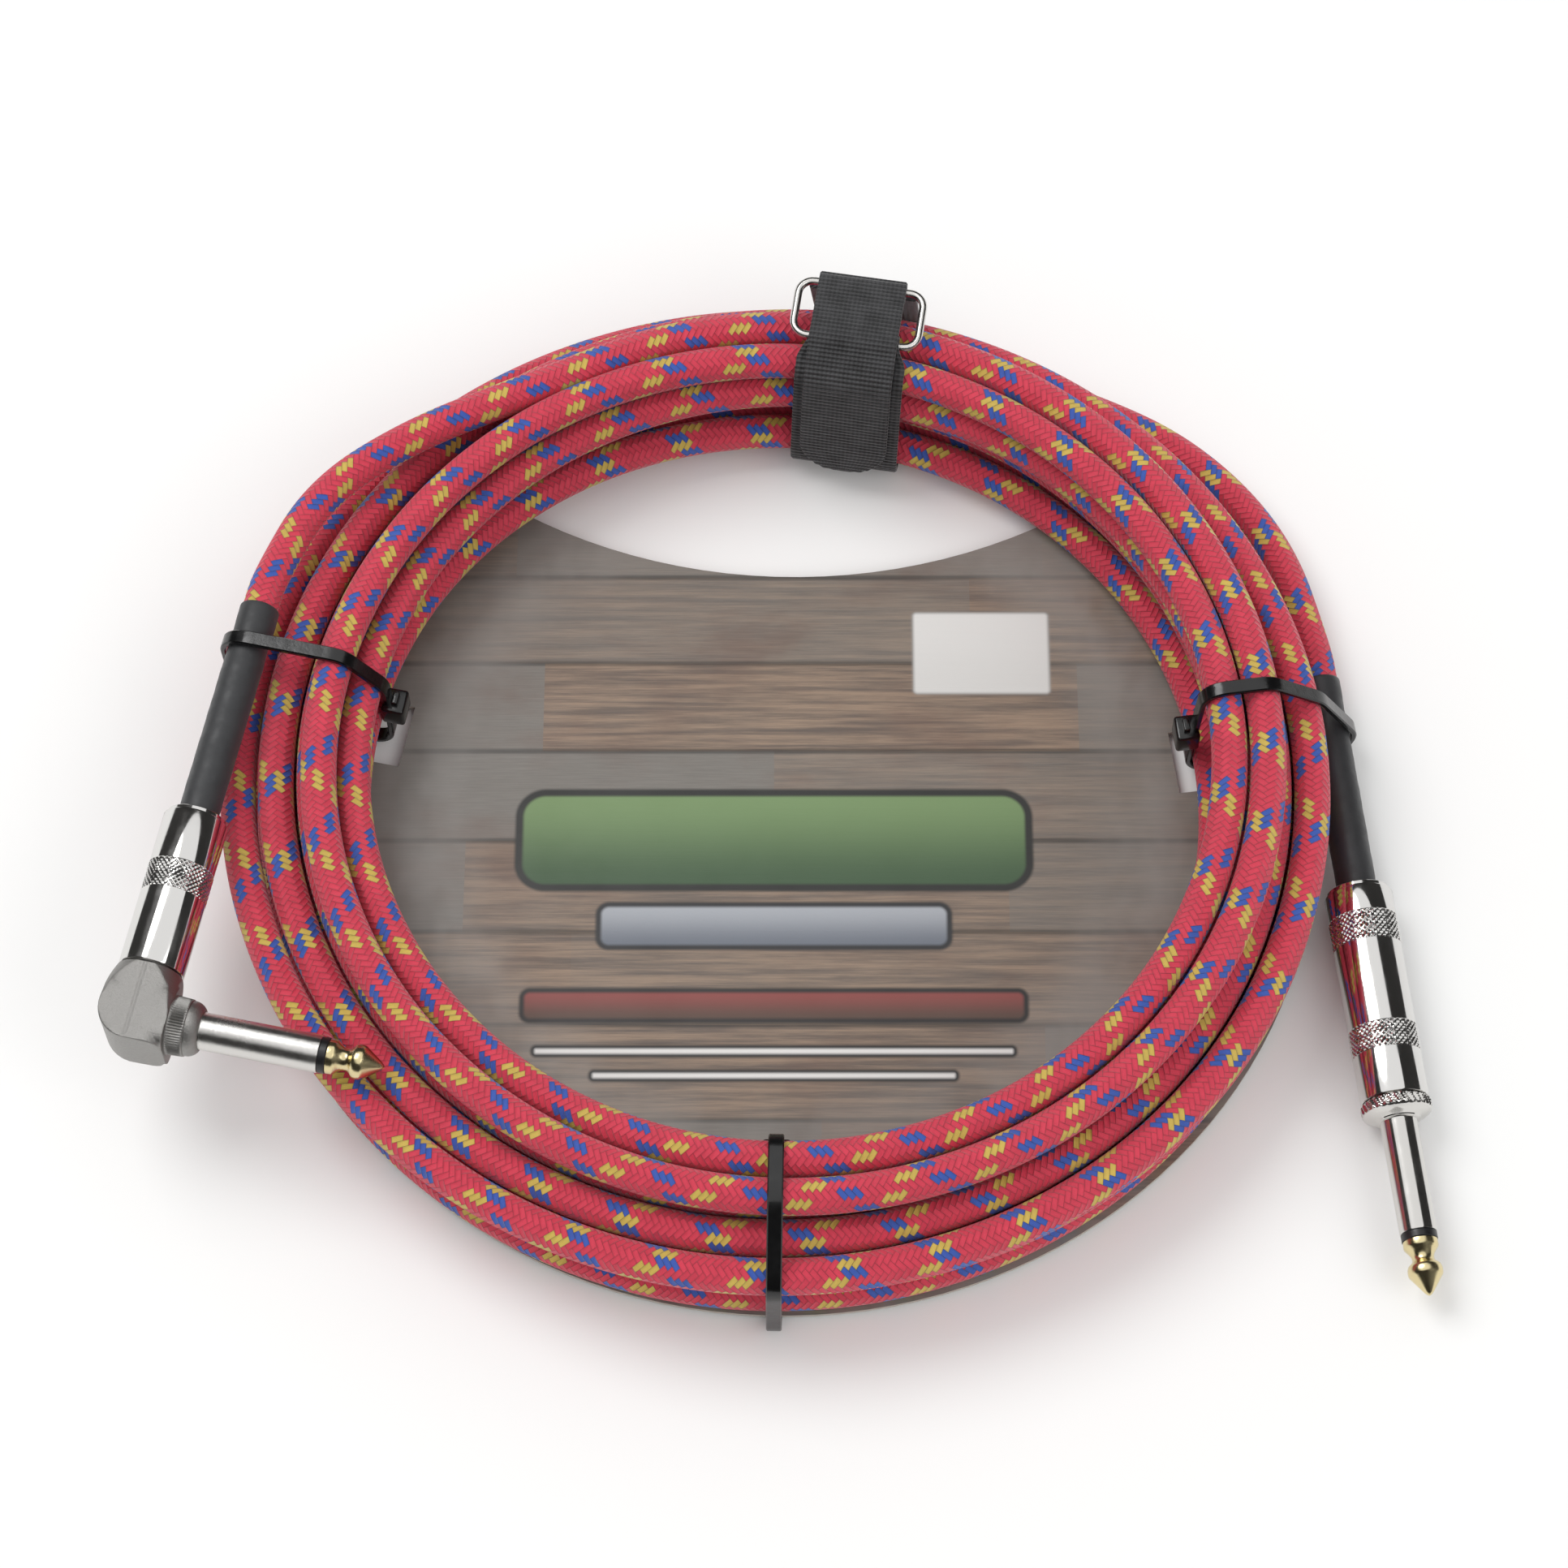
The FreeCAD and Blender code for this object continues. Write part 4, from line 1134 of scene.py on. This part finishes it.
def roundedPanel(x, y, centre, half, corner, blur=0.4):
    across = ((x - centre[0]).size() - (half[0] - corner)).most(0.0)
    rise = ((y - centre[1]).size() - (half[1] - corner)).most(0.0)
    away = (across * across + rise * rise).power(0.5)
    return away.ramp(corner - blur, corner + blur, 1.0, 0.0)


def cardPaint():
    paint = Paint("printedCard", Base_Color=card["light"], Roughness=0.42)
    x, y, z = paint.coordinates()
    lift = y - middle.y
    plank = (lift * (1 / card["plankWidth"]) + 0.35)
    row = plank.floor()
    edge = (plank - row - 0.5).size()
    shift = (row * 57.3).sine() * 60
    board = ((x + shift) * (1 / 95.0)).floor()
    tone = paint.noise(row * 7.7, board * 3.1, 0.5, scale=1.0, detail=0)
    streak = paint.noise((x + shift) * 0.028, lift * 0.75, row * 9, scale=1.0, detail=6, rough=0.68)
    fine = paint.noise((x + shift) * 0.12, lift * 4.5, row * 5, scale=1.0, detail=4, rough=0.7)
    stain = paint.noise(x * 0.03, lift * 0.05, 3.0, scale=1.0, detail=4)
    wood = paint.mix(streak.ramp(0.32, 0.68), card["dark"], card["light"])
    wood = paint.mix(tone.ramp(0.35, 0.65), wood, card["grey"])
    wood = paint.mix(stain.ramp(0.45, 0.75, 0.0, 0.55), wood, rgb(104, 78, 66))
    light = fine.ramp(0.3, 0.7, 0.86, 1.06) * edge.ramp(0.455, 0.49, 1.0, 0.42)
    away = ((x - middle.x) * (x - middle.x) + lift * lift).power(0.5)
    # painted shadow under the coil: the card darkens toward the rim
    light = light * away.ramp(48.0, 80.0, 1.0, 0.8)
    colour = paint.shaded(wood, light)
    # painted glare: a pale grey highlight toward the rim, patchy with noise
    cloud = paint.noise(x * 0.05, lift * 0.03, 8.0, scale=1.0, detail=3)
    paintedGlare = away.ramp(50.0, 66.0, 0.0, 0.5) * cloud.ramp(0.35, 0.6, 0.35, 1.0)
    colour = paint.mix(paintedGlare, colour, card["paintedGlare"])
    for centre, half, corner, rim, border, low, high in card["panels"]:
        outer = roundedPanel(x, lift, centre, (half[0] + rim, half[1] + rim), corner + rim)
        inner = roundedPanel(x, lift, centre, half, corner)
        fade = lift.ramp(centre[1] - half[1], centre[1] + half[1])
        colour = paint.mix(outer, colour, border)
        colour = paint.mix(inner, colour, paint.mix(fade, low, high))
    top = z.ramp(1.7, 1.88)
    paint.put("Base Color", paint.mix(top, card["edge"], colour))
    sheen = paint.noise(x, lift, scale=0.06, detail=3)
    paint.put("Roughness", sheen.ramp(0.3, 0.7, 0.34, 0.5))
    paint.relief(streak, 0.05)
    return paint


def repaint(node, paint):
    mesh = nodes[node].data
    mesh.materials.clear()
    mesh.materials.append(paint.material)
    mesh.shade_smooth()
    mesh.set_sharp_from_angle(angle=radians(35))


def spottedPaint(name, colour, other, roughness, metallic=0.0, scale=1.0, depth=0.03):
    paint = Paint(name, Base_Color=colour, Roughness=roughness, Metallic=metallic)
    cloud = paint.cloud(scale, detail=5)
    paint.put("Base Color", paint.mix(cloud.ramp(0.3, 0.7), colour, other))
    paint.put("Roughness", cloud.ramp(0.3, 0.7, roughness, roughness + 0.12))
    paint.relief(cloud, depth)
    return paint


repaint("backing_card", cardPaint())
steel = spottedPaint("tinnedSteel", (0.62, 0.61, 0.58, 1), (0.5, 0.49, 0.46, 1), 0.28, 1.0, 0.8)
clear = spottedPaint("liner", rgb(206, 208, 206), rgb(188, 191, 190), 0.3, 0.0, 0.4)
fibre = spottedPaint("fibreWasher", rgb(120, 52, 40), rgb(98, 40, 32), 0.6, 0.0, 1.5)
insulation = spottedPaint("coreInsulation", rgb(214, 212, 204), rgb(196, 192, 182), 0.4, 0.0, 1.2)
hooks = spottedPaint("hookTape", rgb(30, 30, 32), rgb(52, 52, 54), 0.75, 0.0, 3.5, 0.2)
for plug in ("straight", "angle"):
    repaint(plug + "_clamp", steel)
    repaint(plug + "_lug", steel)
    repaint(plug + "_liner", clear)
    repaint(plug + "_core", insulation)
repaint("straight_washer", fibre)
repaint("strap_hook_patch", hooks)
print("card and inner parts painted")


# stage, light and camera

stage = {
    "floor": rgb(242, 242, 241),
    "worldLevel": 0.75,
    "cameraDistance": 757.0,
    "cameraElevation": 64.0,
    "aimHeight": 12.0,
    "lens": 100.0,
    "skirt": ((0.27, 0.32), (0.75, 0.05)),  # radius and height in metres
    "skirtColour": rgb(38, 37, 36),
    "keyPower": 5,
    "fillPower": 3,
}


def makeStage():
    size = 3.0
    floor = rawObject("floor", [(-size, -size, 0), (size, -size, 0), (size, size, 0),
                                (-size, size, 0)], [(0, 1, 2, 3)])
    floor.location.z = -0.0002
    pale = Paint("paleFloor", Base_Color=stage["floor"], Roughness=0.85)
    floor.data.materials.append(pale.material)

    world = bpy.data.worlds.new("studio")
    bpy.context.scene.world = world
    world.use_nodes = True
    tree = world.node_tree
    background = tree.nodes["Background"]
    background.inputs[0].default_value = (1, 1, 1, 1)
    rays = tree.nodes.new("ShaderNodeLightPath")
    total = Term(tree, rays.outputs["Is Camera Ray"]).most(
        Term(tree, rays.outputs["Is Glossy Ray"])).most(
        Term(tree, rays.outputs["Is Transmission Ray"]))
    level = total * (1 - stage["worldLevel"]) + stage["worldLevel"]
    tree.links.new(level.socket, background.inputs[1])


def makeSkirt():
    # a dark skirt round the open top, seen only in reflections, gives metal its dark bands
    rings = [[(radius * cos(a), radius * sin(a), height) for a in allRound(48)]
             for radius, height in stage["skirt"]]
    points, faces, _ = skin(rings, [0.0, 1.0], caps=False)
    skirt = rawObject("skirt", points, faces)
    dark = Paint("darkCloth", Base_Color=stage["skirtColour"], Roughness=0.9)
    skirt.data.materials.append(dark.material)
    for kind in ("camera", "diffuse", "transmission", "volume_scatter", "shadow"):
        setattr(skirt, "visible_" + kind, False)


def makeLight(name, spot, aim, size, power):
    data = bpy.data.lights.new(name, "AREA")
    data.shape = "DISK"
    data.size = size
    data.energy = power
    light = bpy.data.objects.new(name, data)
    light.location = spot
    light.rotation_euler = (Vector(aim) - Vector(spot)).to_track_quat("-Z", "Y").to_euler()
    bpy.context.scene.collection.objects.link(light)


def makeCamera():
    data = bpy.data.cameras.new("camera")
    data.lens = stage["lens"]
    data.sensor_width = 36
    data.clip_start = 0.05
    camera = bpy.data.objects.new("camera", data)
    rise = radians(stage["cameraElevation"])
    back = Vector((0, -cos(rise), sin(rise)))
    aim = (middle + Vector((0, 0, stage["aimHeight"]))) * mm
    camera.location = aim + back * stage["cameraDistance"] * mm
    camera.rotation_euler = (-back).to_track_quat("-Z", "Y").to_euler()
    bpy.context.scene.collection.objects.link(camera)
    bpy.context.scene.camera = camera


makeStage()
makeSkirt()
makeLight("key", (-0.5, 0.35, 0.9), (0, 0, 0), 0.7, stage["keyPower"])
makeLight("fill", (0.8, -0.5, 0.7), (0, 0, 0), 0.9, stage["fillPower"])
makeCamera()
bpy.context.scene.view_settings.view_transform = "Standard"
